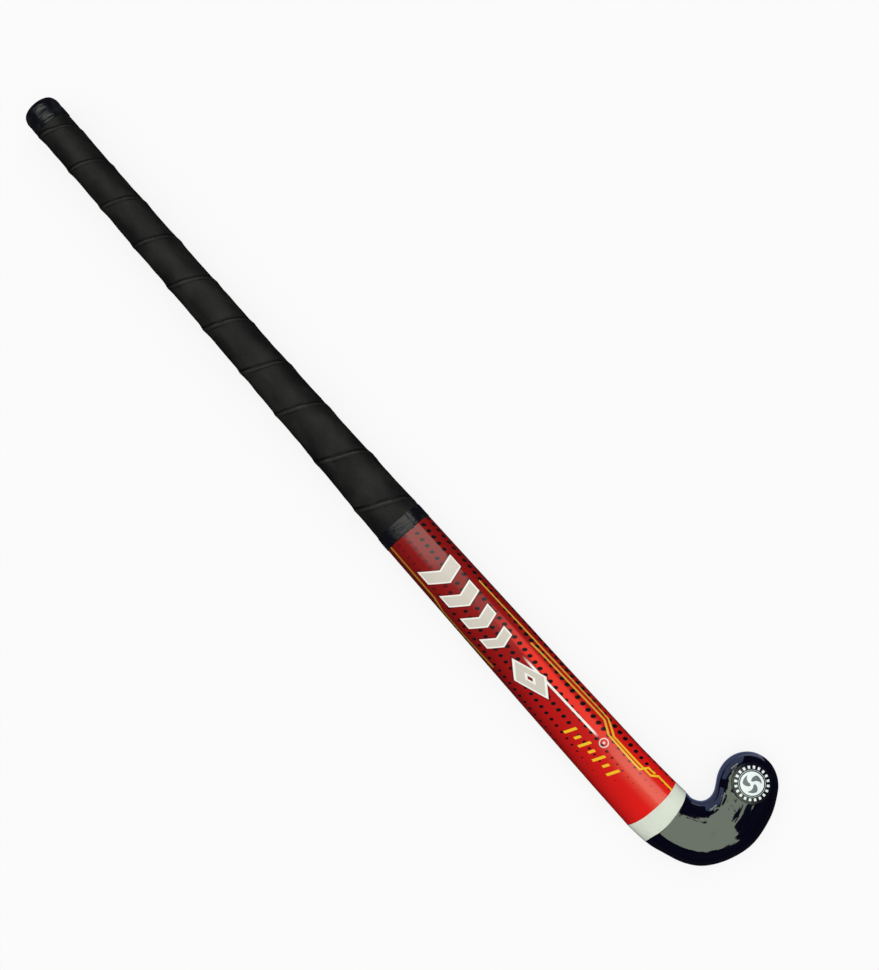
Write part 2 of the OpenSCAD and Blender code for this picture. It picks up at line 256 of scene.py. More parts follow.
@dataclass(frozen=True)
class Skin:
    """Rings of points laid on the stick, and again 1 mm above it, to shape pieces on."""

    ground: np.ndarray
    raised: np.ndarray
    along: np.ndarray
    girth: np.ndarray

    @classmethod
    def through(cls, sections: Sequence[tuple[Rib, float, float]], sides: int, toe: float = 0.0) -> "Skin":
        """Lays rings on sections.

        Args:
            sections: Rib, place along the stick, and share of the toe's round end, of each.
            sides: Points in a ring.
            toe: Length of the toe's round end.

        Returns:
            The skin through them.
        """
        rings = [rib.outline(sides, 0.0, ahead, toe) for rib, _, ahead in sections]
        above = [rib.outline(sides, 1.0, ahead, toe)[0] for rib, _, ahead in sections]
        return cls(
            np.array([ring[0] for ring in rings]),
            np.array(above),
            np.array([place for _, place, _ in sections]),
            np.array([ring[1] for ring in rings]),
        )

    def spot(self, row: np.ndarray, column: np.ndarray, lift: np.ndarray) -> np.ndarray:
        """Points between the rings, lifted off the surface.

        Args:
            row: Number of the ring, which may lie between two rings.
            column: Number of the point in the ring, likewise.
            lift: Height above the surface, in mm.

        Returns:
            One point in mm for each.
        """
        sides = self.ground.shape[1]
        first = np.clip(np.floor(row).astype(int), 0, len(self.ground) - 2)
        part = np.clip(row - first, 0.0, 1.0)[:, None]
        left = np.floor(column).astype(int)
        turn = (column - left)[:, None]
        left, right = left % sides, (left + 1) % sides

        def between(grid: np.ndarray) -> np.ndarray:
            """Reads a grid at the wanted spots.

            Args:
                grid: A point for each ring and column.

            Returns:
                One point for each spot.
            """
            near = grid[first, left] * (1.0 - turn) + grid[first, right] * turn
            far = grid[first + 1, left] * (1.0 - turn) + grid[first + 1, right] * turn
            return near * (1.0 - part) + far * part

        base = between(self.ground)
        return base + (between(self.raised) - base) * lift[:, None]

    def row_at(self, along: np.ndarray) -> np.ndarray:
        """The number of the ring at a place along the stick."""
        return np.interp(along, self.along, np.arange(len(self.along)))


# ---- Modelling steps ----


class Pick(Enum):
    """What is selected in edit mode."""

    VERTS = (True, False, False)
    EDGES = (False, True, False)
    FACES = (False, False, True)


def deselect() -> None:
    """Leaves nothing selected."""
    bpy.ops.object.select_all(action="DESELECT")


def activate(obj: bpy.types.Object) -> None:
    """Selects one object alone and makes it active.

    Args:
        obj: The object.
    """
    deselect()
    obj.select_set(True)
    bpy.context.view_layer.objects.active = obj


def primitive(name: str, add: Callable[..., set[str]], **sizes: object) -> bpy.types.Object:
    """Adds a primitive with its place and turn applied to its mesh.

    Args:
        name: Name of the new object and mesh.
        add: The operator.
        sizes: Its settings.

    Returns:
        The object.
    """
    deselect()
    add(**sizes)
    obj = bpy.context.object
    obj.name = name
    obj.data.name = name
    bpy.ops.object.transform_apply(location=True, rotation=True, scale=True)
    return obj


def coordinates(obj: bpy.types.Object) -> np.ndarray:
    """Reads the places of a mesh's vertices.

    Args:
        obj: The mesh object.

    Returns:
        A place in metres for each vertex.
    """
    found = np.empty(len(obj.data.vertices) * 3)
    obj.data.vertices.foreach_get("co", found)
    return found.reshape(-1, 3)


def move_to(obj: bpy.types.Object, points: np.ndarray) -> None:
    """Moves every vertex to its new place."""
    obj.data.vertices.foreach_set("co", np.ascontiguousarray(points, dtype=np.float32).ravel())
    obj.data.update()


def face_normals(obj: bpy.types.Object) -> np.ndarray:
    """The normals of a mesh's faces."""
    return np.array([face.normal[:] for face in obj.data.polygons])


def edge_ends(obj: bpy.types.Object) -> np.ndarray:
    """Reads which vertices a mesh's edges join.

    Args:
        obj: The mesh object.

    Returns:
        Two vertex numbers for each edge.
    """
    found = np.empty(len(obj.data.edges) * 2, dtype=int)
    obj.data.edges.foreach_get("vertices", found)
    return found.reshape(-1, 2)


@contextmanager
def editing(obj: bpy.types.Object, pick: Pick, chosen: np.ndarray | None = None) -> Iterator[None]:
    """Edit mode with only the chosen vertices, edges or faces selected.

    Args:
        obj: The mesh object.
        pick: What is selected.
        chosen: One truth value for each vertex, edge or face, or None for all of them.

    Yields:
        Once, while edit mode is on.
    """
    activate(obj)
    mesh = obj.data
    for kind, items in zip(Pick, (mesh.vertices, mesh.edges, mesh.polygons)):
        flags = np.zeros(len(items), dtype=bool)
        if kind is pick:
            flags[:] = True if chosen is None else chosen
        items.foreach_set("select", flags)
    bpy.context.tool_settings.mesh_select_mode = pick.value
    bpy.ops.object.mode_set(mode="EDIT")
    try:
        yield
    finally:
        bpy.ops.object.mode_set(mode="OBJECT")


def apply_modifier(obj: bpy.types.Object, kind: str, **settings: object) -> None:
    """Adds a modifier with its settings and applies it.

    Args:
        obj: The mesh object.
        kind: The modifier's type.
        settings: Its settings.
    """
    modifier = obj.modifiers.new(kind.lower(), kind)
    for key, value in settings.items():
        setattr(modifier, key, value)
    activate(obj)
    bpy.ops.object.modifier_apply(modifier=modifier.name)


def merge_doubles(obj: bpy.types.Object, gap: float = 1e-7) -> None:
    """Merges vertices that lie together and turns the faces outwards.

    Args:
        obj: The mesh object.
        gap: How far apart they may lie, in metres.
    """
    with editing(obj, Pick.VERTS):
        bpy.ops.mesh.remove_doubles(threshold=gap)
        bpy.ops.mesh.normals_make_consistent(inside=False)


def turn_outwards(obj: bpy.types.Object) -> None:
    """Turns the faces of a mesh outwards."""
    with editing(obj, Pick.FACES):
        bpy.ops.mesh.normals_make_consistent(inside=False)


def round_off(obj: bpy.types.Object, angle: float = 40.0) -> None:
    """Shades a mesh smooth, apart from edges sharper than an angle in degrees."""
    activate(obj)
    bpy.ops.object.shade_smooth_by_angle(angle=math.radians(angle))


def cut_lengthwise(obj: bpy.types.Object, cuts: int) -> None:
    """Cuts every edge that runs along X into equal parts.

    Args:
        obj: The mesh object.
        cuts: How many cuts each edge gets.
    """
    ends = coordinates(obj)[edge_ends(obj)]
    reach = np.abs(ends[:, 0] - ends[:, 1])
    with editing(obj, Pick.EDGES, reach[:, 0] > reach[:, 1:].max(axis=1)):
        bpy.ops.mesh.subdivide(number_cuts=cuts)


@dataclass
class Tube:
    """An open tube along X, whose rings are laid on the stick one by one.

    Cuts says how often its length is cut: first once, then each part again.
    """

    name: str
    sides: int
    cuts: tuple[int, ...]
    obj: bpy.types.Object = field(init=False)
    ring: np.ndarray = field(init=False)
    column: np.ndarray = field(init=False)

    def __post_init__(self) -> None:
        """Adds the cylinder, cuts it into rings and numbers its vertices."""
        self.obj = primitive(
            self.name, bpy.ops.mesh.primitive_cylinder_add, vertices=self.sides, radius=1.0,
            depth=1.0, end_fill_type="NOTHING", rotation=(0.0, math.pi / 2.0, 0.0),
        )
        for count in self.cuts:
            cut_lengthwise(self.obj, count)
        at = coordinates(self.obj)
        self.ring = np.rint((at[:, 0] + 0.5) * (self.rings - 1)).astype(int)
        turn = np.arctan2(at[:, 1], at[:, 2]) / (2.0 * math.pi)
        self.column = np.rint(turn * self.sides).astype(int) % self.sides

    @property
    def rings(self) -> int:
        """How many rings the tube has."""
        return math.prod(count + 1 for count in self.cuts) + 1

    def lay(self, points: np.ndarray, along: np.ndarray, girth: np.ndarray) -> None:
        """Moves the rings to their places and records where each face lies on the wrap.

        Args:
            points: A place in metres for each ring and column.
            along: Place along the stick in mm, for each ring and column.
            girth: Place round the stick in mm, for each ring and column.
        """
        move_to(self.obj, points[self.ring, self.column])
        lay_map(self.obj, along[self.ring, self.column], girth[self.ring, self.column],
                np.ptp(girth, axis=1).max())


def lay_map(obj: bpy.types.Object, along: np.ndarray, girth: np.ndarray, full: float) -> None:
    """Gives a mesh the map "wrap": metres along the stick and metres round it.

    Args:
        obj: The mesh object.
        along: Place along of each vertex, in mm.
        girth: Place round of each vertex, in mm, which jumps on the middle of the face side.
        full: About the whole way round, in mm.
    """
    mesh = obj.data
    layer = mesh.uv_layers.new(name="wrap")
    corner = np.empty(len(mesh.loops), dtype=int)
    mesh.loops.foreach_get("vertex_index", corner)
    start = np.array([face.loop_start for face in mesh.polygons])
    across = girth[corner]
    lowest = np.minimum.reduceat(across, start)
    highest = np.maximum.reduceat(across, start)
    counts = np.array([face.loop_total for face in mesh.polygons])
    torn = np.repeat(highest - lowest > full / 2.0, counts)
    across = np.where(torn & (across < 0.0), across + full, across)
    layer.uv.foreach_set("vector", (np.column_stack([along[corner], across]) * MM).astype(np.float32).ravel())


def finish_piece(obj: bpy.types.Object, slot: str, material: bpy.types.Material,
                 *nodes: str) -> bpy.types.Object:
    """Dresses a finished piece and joins it to the frame.

    Args:
        obj: The piece.
        slot: The record's material slot.
        material: Its finish.
        nodes: The CAD nodes that it stands for.

    Returns:
        The piece.
    """
    obj.data.materials.clear()
    obj.data.materials.append(material)
    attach(obj, BODY)
    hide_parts(*nodes)
    LOG.info("%s: %d faces, finish %s, for %s", obj.name, len(obj.data.polygons), slot, ", ".join(nodes))
    return obj


# ---- Shader building ----

Numeric = "Value | float"


class Value:
    """A socket of a node tree. Python arithmetic on it adds Math nodes."""

    def __init__(self, board: "Board", socket: bpy.types.NodeSocket) -> None:
        """Keeps the board and the socket."""
        self.board = board
        self.socket = socket

    def __add__(self, other: Numeric) -> "Value":
        """Adds."""
        return self.board.math("ADD", self, other)

    __radd__ = __add__

    def __sub__(self, other: Numeric) -> "Value":
        """Subtracts."""
        return self.board.math("SUBTRACT", self, other)

    def __rsub__(self, other: Numeric) -> "Value":
        """Subtracts the value from a number."""
        return self.board.math("SUBTRACT", other, self)

    def __mul__(self, other: Numeric) -> "Value":
        """Multiplies, which also means "and" for masks."""
        return self.board.math("MULTIPLY", self, other)

    __rmul__ = __mul__

    def __truediv__(self, other: Numeric) -> "Value":
        """Divides."""
        return self.board.math("DIVIDE", self, other)

    def __rtruediv__(self, other: Numeric) -> "Value":
        """Divides a number by the value."""
        return self.board.math("DIVIDE", other, self)

    def __pow__(self, other: Numeric) -> "Value":
        """Raises to a power."""
        return self.board.math("POWER", self, other)

    def __abs__(self) -> "Value":
        """Drops the sign."""
        return self.board.math("ABSOLUTE", self)

    def __or__(self, other: Numeric) -> "Value":
        """The greater of two, which means "or" for masks."""
        return self.board.math("MAXIMUM", self, other)

    def __and__(self, other: Numeric) -> "Value":
        """The lesser of two."""
        return self.board.math("MINIMUM", self, other)

    def nearest(self) -> "Value":
        """The nearest whole number."""
        return self.board.math("ROUND", self)

    def root(self) -> "Value":
        """The square root."""
        return self.board.math("SQRT", self)

    def wave(self) -> "Value":
        """The sine."""
        return self.board.math("SINE", self)

    def ramp(self, start: float, end: float, low: float = 0.0, high: float = 1.0) -> "Value":
        """Makes a soft step.

        Args:
            start: Where the step starts, which may be above its end.
            end: Where it ends.
            low: Result up to the start.
            high: Result past the end.

        Returns:
            The stepped value.
        """
        node = self.board.node(
            "ShaderNodeMapRange", {"interpolation_type": "SMOOTHSTEP", "clamp": True},
            {"Value": self, "From Min": start, "From Max": end, "To Min": low, "To Max": high},
        )
        return Value(self.board, node.outputs["Result"])

    def within(self, edge: float, soft: float) -> "Value":
        """1 where the value is under an edge, falling to 0 over a softness."""
        return self.ramp(edge - soft, edge + soft, 1.0, 0.0)


Colour = tuple[float, float, float]
Line = tuple[tuple[float, float], ...]


def srgb(red: int, green: int, blue: int) -> Colour:
    """Turns a screen colour into linear light, by the sRGB standard.

    Args:
        red: Red, from 0 to 255.
        green: Green, likewise.
        blue: Blue, likewise.

    Returns:
        The colour, from 0 to 1 in each channel.
    """

    def linear(level: int) -> float:
        """One channel."""
        share = level / 255.0
        return share / 12.92 if share <= 0.04045 else ((share + 0.055) / 1.055) ** 2.4

    return linear(red), linear(green), linear(blue)


class Board:
    """A node tree, and the one way in which nodes are added to it."""

    def __init__(self, tree: bpy.types.NodeTree) -> None:
        """Keeps the tree."""
        self.tree = tree

    def put(self, node: bpy.types.Node, key: str | int, value: object) -> None:
        """Sets or links one input of a node.

        Args:
            node: The node.
            key: Name or number of the input.
            value: A number, a colour, or the socket that feeds it.
        """
        socket = node.inputs[key]
        if isinstance(value, Value):
            self.tree.links.new(value.socket, socket)
        elif isinstance(value, bpy.types.NodeSocket):
            self.tree.links.new(value, socket)
        elif socket.type == "RGBA" and len(value) == 3:
            socket.default_value = (*value, 1.0)
        else:
            socket.default_value = value

    def node(self, kind: str, settings: dict[str, object] | None = None,
             inputs: dict[str | int, object] | None = None) -> bpy.types.Node:
        """Adds a node.

        Args:
            kind: The node's type.
            settings: Its properties, where "stops" holds a ramp's (place, colour) pairs.
            inputs: Values or links of its sockets.

        Returns:
            The node.
        """
        made = self.tree.nodes.new(kind)
        for key, value in (settings or {}).items():
            if key == "stops":
                elements = made.color_ramp.elements
                while len(elements) > 1:
                    elements.remove(elements[-1])
                for i, (place, colour) in enumerate(value):
                    stop = elements[0] if i == 0 else elements.new(place)
                    stop.position = place
                    stop.color = (*colour, 1.0)
            else:
                setattr(made, key, value)
        for key, value in (inputs or {}).items():
            self.put(made, key, value)
        return made

    def math(self, operation: str, *values: Numeric) -> Value:
        """Adds a Math node on values or numbers."""
        node = self.node("ShaderNodeMath", {"operation": operation}, dict(enumerate(values)))
        return Value(self, node.outputs[0])

    def mix(self, share: Numeric, low: object, high: object) -> Value:
        """Mixes two colours."""
        node = self.node("ShaderNodeMix", {"data_type": "RGBA"}, {0: share, 6: low, 7: high})
        return Value(self, node.outputs[2])

    def join(self, x: Numeric, y: Numeric, z: Numeric) -> Value:
        """A vector of three numbers."""
        node = self.node("ShaderNodeCombineXYZ", None, {0: x, 1: y, 2: z})
        return Value(self, node.outputs[0])


class Sheet(Board):
    """The node tree of one material, with a Principled shader."""

    def __init__(self, name: str, **constants: object) -> None:
        """Makes the material and sets what stays the same all over it.

        Args:
            name: The material's name.
            constants: Values of the shader's inputs, by their names in small letters.
        """
        self.material = bpy.data.materials.new(name)
        self.material.use_nodes = True
        super().__init__(self.material.node_tree)
        self.shader = next(n for n in self.tree.nodes if n.type == "BSDF_PRINCIPLED")
        for key, value in constants.items():
            self.put(self.shader, key.replace("_", " ").title().replace("Ior", "IOR"), value)

    def wrap(self) -> tuple[Value, Value]:
        """Reads the piece's own map.

        Returns:
            Place along the stick and place round it, in mm.
        """
        source = self.node("ShaderNodeUVMap", {"uv_map": "wrap"})
        parts = self.node("ShaderNodeSeparateXYZ", None, {0: source.outputs["UV"]})
        return Value(self, parts.outputs[0]) / MM, Value(self, parts.outputs[1]) / MM

    def place(self) -> tuple[Value, Value, Value]:
        """Reads where a point of the piece is.

        Returns:
            Its X, Y and Z in the shared frame, in mm.
        """
        source = self.node("ShaderNodeTexCoord")
        parts = self.node("ShaderNodeSeparateXYZ", None, {0: source.outputs["Object"]})
        return tuple(Value(self, parts.outputs[i]) / MM for i in range(3))

    def noise(self, where: Value, scale: float = 1.0, detail: float = 3.0, rough: float = 0.5) -> Value:
        """Makes cloudy noise.

        Args:
            where: Place in mm.
            scale: Clouds in a mm.
            detail: How many finer layers it has.
            rough: Strength of each layer next to the coarser one before it.

        Returns:
            A value about 0.5.
        """
        node = self.node("ShaderNodeTexNoise", {"noise_dimensions": "3D"},
                         {"Vector": where, "Scale": scale, "Detail": detail, "Roughness": rough})
        return Value(self, node.outputs[0])

    def cells(self, where: Value, scale: float = 1.0) -> Value:
        """Distance to the nearest of scattered points, at a place in mm."""
        node = self.node("ShaderNodeTexVoronoi", {"feature": "F1"}, {"Vector": where, "Scale": scale})
        return Value(self, node.outputs["Distance"])

    def stops(self, value: Value, *stops: tuple[float, Colour]) -> Value:
        """A colour that runs through stops."""
        node = self.node("ShaderNodeValToRGB", {"stops": stops}, {0: value})
        return Value(self, node.outputs["Color"])

    def track(self, along: Value, points: Sequence[tuple[float, float]]) -> Value:
        """The height of a line through points, as a function of the place along.

        Args:
            along: Place along the stick, in mm.
            points: Place along and height of each corner of the line, in mm.

        Returns:
            The height.
        """
        total: Numeric = points[0][1]
        for (x0, y0), (x1, y1) in zip(points, points[1:]):
            node = self.node(
                "ShaderNodeMapRange", {"interpolation_type": "LINEAR", "clamp": True},
                {"Value": along, "From Min": x0, "From Max": x1, "To Min": 0.0, "To Max": y1 - y0},
            )
            total = Value(self, node.outputs["Result"]) + total
        return total

    def dress(self, colour: object, rough: object, height: Value, depth: float,
              strength: float) -> bpy.types.Material:
        """Feeds the shader.

        Args:
            colour: Base colour.
            rough: Roughness.
            height: Surface height, in units of depth.
            depth: Size of a height of 1, in mm.
            strength: Share of the bump that shows.

        Returns:
            The finished material.
        """
        bump = self.node("ShaderNodeBump", None,
                         {"Height": height, "Distance": depth * MM, "Strength": strength})
        self.put(self.shader, "Base Color", colour)
        self.put(self.shader, "Roughness", rough)
        self.put(self.shader, "Normal", bump.outputs["Normal"])
        return self.material


# ---- Finishes ----


@dataclass(frozen=True)
class GlossTape:
    """Navy-black PVC tape, glossy, with creases and finger marks."""

    colour: Colour = srgb(12, 12, 20)
    marks: Colour = srgb(34, 35, 36)

    def material(self, name: str) -> bpy.types.Material:
        """Makes the finish.

        Args:
            name: The material's name.

        Returns:
            The material.
        """
        sheet = Sheet(name, ior=1.5)
        x, y, z = sheet.place()
        cloud = sheet.noise(sheet.join(x * 0.09, y * 0.14, z * 0.14), detail=4.0)
        fine = sheet.noise(sheet.join(x * 0.9, y * 0.5, z * 0.5), detail=5.0, rough=0.6)
        crease = sheet.noise(sheet.join(x * 0.35, y * 0.08, z * 0.08), detail=2.0)
        folds = 1.0 - abs(crease - 0.5) * 9.0 & 1.0
        height = cloud * 0.6 + (folds | 0.0) * 0.25 + fine * 0.08
        return sheet.dress(sheet.mix(cloud.ramp(0.45, 0.75), self.colour, self.marks),
                           fine * 0.16 + cloud * 0.12 + 0.1, height, 0.5, 0.55)


@dataclass(frozen=True)
class GripSkin:
    """Matte black polyurethane with a fine grain, a painted highlight on the ridge of each seam and painted
    shade in its groove.

    The map counts whole turns of the strip along the stick, and parts of a turn round it. The ridge of a seam,
    which carries the painted highlight, and the second line beside it, a thin line of painted shade, lie so
    many mm past its edge, and both fade down the sides of the handle.
    """

    colour: Colour = srgb(18, 19, 19)
    worn: Colour = srgb(34, 35, 31)
    # colour of the painted highlight on each seam's ridge
    ridge: Colour = srgb(58, 59, 53)
    # colour of the painted shade in the seams
    seam_shade: Colour = srgb(5, 5, 6)
    pitch: float = 44.0
    wander: float = 1.2
    second_line: float = 3.7

    def material(self, name: str) -> bpy.types.Material:
        """Makes the finish.

        Args:
            name: The material's name.

        Returns:
            The material.
        """
        sheet = Sheet(name, ior=1.45, specular_ior_level=0.3)
        wound, turn = sheet.wrap()
        share = sheet.math("FRACT", wound * MM - turn * MM + 0.5) - 0.5
        x, y, z = sheet.place()
        drift = sheet.noise(sheet.join(x * 0.06, y * 0.12, z * 0.12), detail=3.0)
        past = share * self.pitch + (drift - 0.5) * self.wander
        # groove is the seam's hollow: dented in the bump, and painted dark there as painted shade
        groove = past.ramp(-2.0, -1.0) * past.ramp(0.7, -0.1) * drift.ramp(0.3, 0.6, 0.7, 1.0)
        # ridge is the seam's raised edge, painted lighter as a painted highlight
        ridge = past.ramp(0.3, 0.9) * past.ramp(2.9, 1.5) * drift.ramp(0.35, 0.65, 0.35, 1.0)
        # second is a thin line of painted shade beside the ridge
        second = abs(past - self.second_line).ramp(0.9, 0.2) * drift.ramp(0.62, 0.48, 0.1, 0.75)
        # the painted highlight on the ridge and the painted shade line fade out down the sides of the handle
        on_top = abs(turn * MM).ramp(0.17, 0.09, 0.25, 1.0)
        ridge, second = ridge * on_top, second * on_top
        where = sheet.join(x, y, z)
        cell = sheet.cells(where, 1.4)
        grain = sheet.noise(where, 2.2, 3.0, 0.6)
        patch = sheet.noise(sheet.join(x * 0.035, y * 0.06, z * 0.06), detail=4.0)
        crease = sheet.noise(sheet.join(x * 0.5 + y * 0.4, y * 0.12, z * 0.12), detail=3.0)
        folds = (1.0 - abs(crease - 0.5) * 14.0) | 0.0
        colour = sheet.mix(patch.ramp(0.35, 0.7), self.colour, self.worn)
        # painted highlight along each seam's ridge
        colour = sheet.mix(ridge * 0.55, colour, self.ridge)
        # painted shade in each seam's groove and along the second line
        colour = sheet.mix(groove | second, colour, self.seam_shade)
        height = cell * 0.09 + grain * 0.09 - folds * 0.12 - groove * 0.35
        return sheet.dress(colour, patch * 0.25 + grain * 0.08 + 0.4 - ridge * 0.08, height, 0.5, 0.8)


@dataclass(frozen=True)
class Figure:
    """A place, half sizes and lean of one printed figure, in mm on the wrap."""

    along: float
    girth: float
    half_w: float
    half_h: float
    lean: float = 0.35


@dataclass(frozen=True)
class Dots:
    """Leaning rows of dots, which shrink towards the heel side and towards the head, in mm on the wrap.

    Row 0 lies at row_start where the film starts, and rows are counted towards the toe side. A row's dots lie
    row_shift further back than those of the row before it, are larger in radius by growth, and go on for
    row_lag longer before they fade.
    """

    pitch: float = 6.57
    row_pitch: float = 9.3
    row_start: float = 15.6
    row_slope: float = 0.055
    row_shift: float = 2.0
    film_start: float = 493.0
    radius: float = 1.75
    growth: float = 0.13
    largest: float = 2.1
    smallest: float = 0.2
    lean: float = 0.35
    squash: float = 0.86
    row_lag: float = 14.0
    fade: tuple[float, float] = (690.0, 790.0)
    end: float = 775.0

    def mask(self, x: Value, girth: Value) -> Value:
        """Marks the dots.

        Args:
            x: Place along the stick, in mm.
            girth: Place round it, in mm.

        Returns:
            1 on a dot and 0 off it.
        """
        v = girth - self.row_start + (x - self.film_start) * self.row_slope
        row = (v / self.row_pitch).nearest()
        dv = v - row * self.row_pitch
        shifted = x - self.film_start + row * self.row_shift
        du = shifted - (shifted / self.pitch).nearest() * self.pitch
        size = (row * self.growth + self.radius) & self.largest
        fade = 1.0 - (x - row * self.row_lag).ramp(*self.fade) * 0.9
        reach = ((du - dv * self.lean) ** 2.0 + (dv * self.squash) ** 2.0).root()
        dot = (reach / (size * fade | self.smallest)).within(1.0, 0.14)
        return dot * (x - row * self.row_lag).within(self.end, 6.0)


@dataclass(frozen=True)
class ShaftPrint:
    """Red film that darkens towards the grip, with painted shade on its heel side and painted highlights on its
    back, dots, pin lines and a cream device, under clear gloss.

    Places along the stick are distances from the butt, and places round it are on the wrap: 0 on the middle of
    the back, and above 0 towards the toe side. A line is a row of corners, each a place along and one round.
    """

    dots: Dots = Dots()
    dots_reach: float = 43.0
    upper: Line = (
        (557, 19.3), (638, 20.8), (698, 22.2), (711, 21.9), (724.5, 14.8), (756, 15.0), (767, 15.2),
        (772, 19.4), (795, 19.4))
    lower: Line = (
        (623, 15.9), (638, 16.8), (698, 18.4), (709.5, 18.5), (720.5, 12.6), (757.3, 12.2), (761.6, 18.2),
        (769, 18.9))
    pin_half: float = 0.72
    heel_line: Line = ((480, -20.3), (544, -20.8), (557, -24.5), (582, -24.5), (619, -22.6))
    heel_half: float = 1.0
    side_line: float = 51.0
    side_half: float = 0.7
    side_start: float = 560.0
    tail: Line = ((626, 3.4), (720, 5.4))
    tail_half: float = 0.95
    tail_end: float = 713.0
    ring_place: tuple[float, float] = (722.8, 5.4)
    ring_r: float = 3.6
    ring_half: float = 0.45
    ring_dot_r: float = 1.1
    chevrons: tuple[Figure, ...] = (
        Figure(537, -0.5, 5.4, 14.6), Figure(562, -1.3, 4.8, 13.2), Figure(585.5, -2.1, 4.2, 11.8),
        Figure(607, -2.9, 3.6, 10.4))
    diamond: Figure = Figure(645, -4.2, 19.0, 9.2, 0.7)
    slit: Figure = Figure(645, -4.2, 7.0, 3.2, 0.7)
    point: float = 0.5
    dashes: tuple[Figure, ...] = (
        Figure(697.5, -7.9, 1.25, 5.0, 0.4), Figure(705.5, -7.3, 1.25, 2.6, 0.4),
        Figure(713.5, -6.9, 1.25, 5.0, 0.4), Figure(721.5, -6.5, 1.25, 2.6, 0.4),
        Figure(729.5, -6.0, 1.25, 5.0, 0.4), Figure(737.5, -5.6, 1.25, 2.6, 0.4),
        Figure(745.5, -5.2, 1.25, 5.0, 0.4))
    edging: float = 1.2
    halo: float = 1.0
    soft: float = 0.2
    red_start: float = 489.0
    red_length: float = 297.0
    dark: Colour = srgb(128, 14, 12)
    deep: Colour = srgb(140, 10, 9)
    mid: Colour = srgb(190, 14, 11)
    bright: Colour = srgb(222, 20, 14)
    # shade is the dark red of the painted shade on the heel side and of the printed halo round the device
    shade: Colour = srgb(96, 4, 6)
    # streak and glow are the colours of painted highlights on the back
    streak: Colour = srgb(232, 48, 34)
    glow: Colour = srgb(230, 92, 66)
    black: Colour = srgb(14, 14, 18)
    brass: Colour = srgb(206, 158, 56)
    gold: Colour = srgb(236, 188, 34)
    olive: Colour = srgb(165, 118, 30)
    cream: Colour = srgb(205, 198, 188)
    white: Colour = srgb(238, 238, 232)

    def bar(self, x: Value, girth: Value, figure: Figure) -> Value:
        """Marks a leaning bar.

        Args:
            x: Place along the stick, in mm.
            girth: Place round it, in mm.
            figure: The bar's place and size.

        Returns:
            1 on the bar and 0 off it.
        """
        dg = girth - figure.girth
        side = abs(x - figure.along - dg * figure.lean).within(figure.half_w, self.soft)
        return side * abs(dg).within(figure.half_h, self.soft)

    def chevron(self, x: Value, girth: Value, figure: Figure, grow: float) -> Value:
        """Marks an arrowhead that points to the head.

        Args:
            x: Place along the stick, in mm.
            girth: Place round it, in mm.
            figure: The arrowhead's place and size.
            grow: How far it is grown outwards, in mm.

        Returns:
            1 on the arrowhead and 0 off it.
        """
        dg = girth - figure.girth
        side = abs(x - figure.along + abs(dg) * self.point - dg * figure.lean * 0.6)
        inside = side.within(figure.half_w + grow * 1.15, self.soft)
        return inside * abs(dg).within(figure.half_h + grow, self.soft)

    def rhomb(self, x: Value, girth: Value, figure: Figure, grow: float) -> Value:
        """Marks a leaning diamond.

        Args:
            x: Place along the stick, in mm.
            girth: Place round it, in mm.
            figure: The diamond's place and size.
            grow: How far it is grown outwards, in mm.

        Returns:
            1 on the diamond and 0 off it.
        """
        dg = girth - figure.girth
        near = abs(x - figure.along - dg * figure.lean) / figure.half_w + abs(dg) / figure.half_h
        return near.within(1.0 + grow * 1.35 / figure.half_h, self.soft / figure.half_h)

    def device(self, x: Value, girth: Value, grow: float = 0.0) -> Value:
        """Marks the arrowheads and the diamond with its slit.

        Args:
            x: Place along the stick, in mm.
            girth: Place round it, in mm.
            grow: How far they are grown outwards, in mm.

        Returns:
            1 on the device and 0 off it.
        """
        mask = self.rhomb(x, girth, self.diamond, grow) * (1.0 - self.rhomb(x, girth, self.slit, -grow))
        for figure in self.chevrons:
            mask = self.chevron(x, girth, figure, grow) | mask
        return mask

    def line(self, sheet: Sheet, x: Value, girth: Value, points: Line, half: float) -> Value:
        """Marks a line through points, of one width where it runs along and where it slants.

        Args:
            sheet: The material's node tree.
            x: Place along the stick, in mm.
            girth: Place round it, in mm.
            points: The line's corners.
            half: Half its width, in mm.

        Returns:
            1 on the line and 0 off it.
        """
        rise = sheet.track(x, [
            (spot, min(1.6, abs(b[1] - a[1]) / (b[0] - a[0])))
            for a, b in zip(points, points[1:]) for spot in (a[0], b[0] - 0.01)
        ])
        ends = x.ramp(points[0][0], points[0][0] + 1.0) * x.within(points[-1][0] - 0.4, 0.4)
        return (abs(girth - sheet.track(x, points)) / (rise * 0.7 + 1.0)).within(half, self.soft) * ends

    def pin_lines(self, sheet: Sheet, x: Value, girth: Value) -> Value:
        """Marks the two lines on the back and the straight one low on each side.

        Args:
            sheet: The material's node tree.
            x: Place along the stick, in mm.
            girth: Place round it, in mm.

        Returns:
            1 on a line and 0 off it.
        """
        back = [self.line(sheet, x, girth, points, self.pin_half) for points in (self.upper, self.lower)]
        side = abs(abs(girth) - self.side_line).within(self.side_half, self.soft)
        return back[0] | back[1] | side * x.ramp(self.side_start, self.side_start + 1.0)

    def comet(self, sheet: Sheet, x: Value, girth: Value) -> tuple[Value, Value]:
        """Marks the thin tail behind the diamond and the small ring at its end.

        Args:
            sheet: The material's node tree.
            x: Place along the stick, in mm.
            girth: Place round it, in mm.

        Returns:
            Two masks: the tail, and the ring with its dot.
        """
        start = self.tail[0][0]
        tail = abs(girth - sheet.track(x, self.tail)).within(self.tail_half, self.soft)
        tail = tail * x.ramp(start, start + 14.0) * x.within(self.tail_end, 4.0)
        reach = ((x - self.ring_place[0]) ** 2.0 + (girth - self.ring_place[1]) ** 2.0).root()
        ring = abs(reach - self.ring_r).within(self.ring_half, 0.18) | reach.within(self.ring_dot_r, self.soft)
        return tail, ring

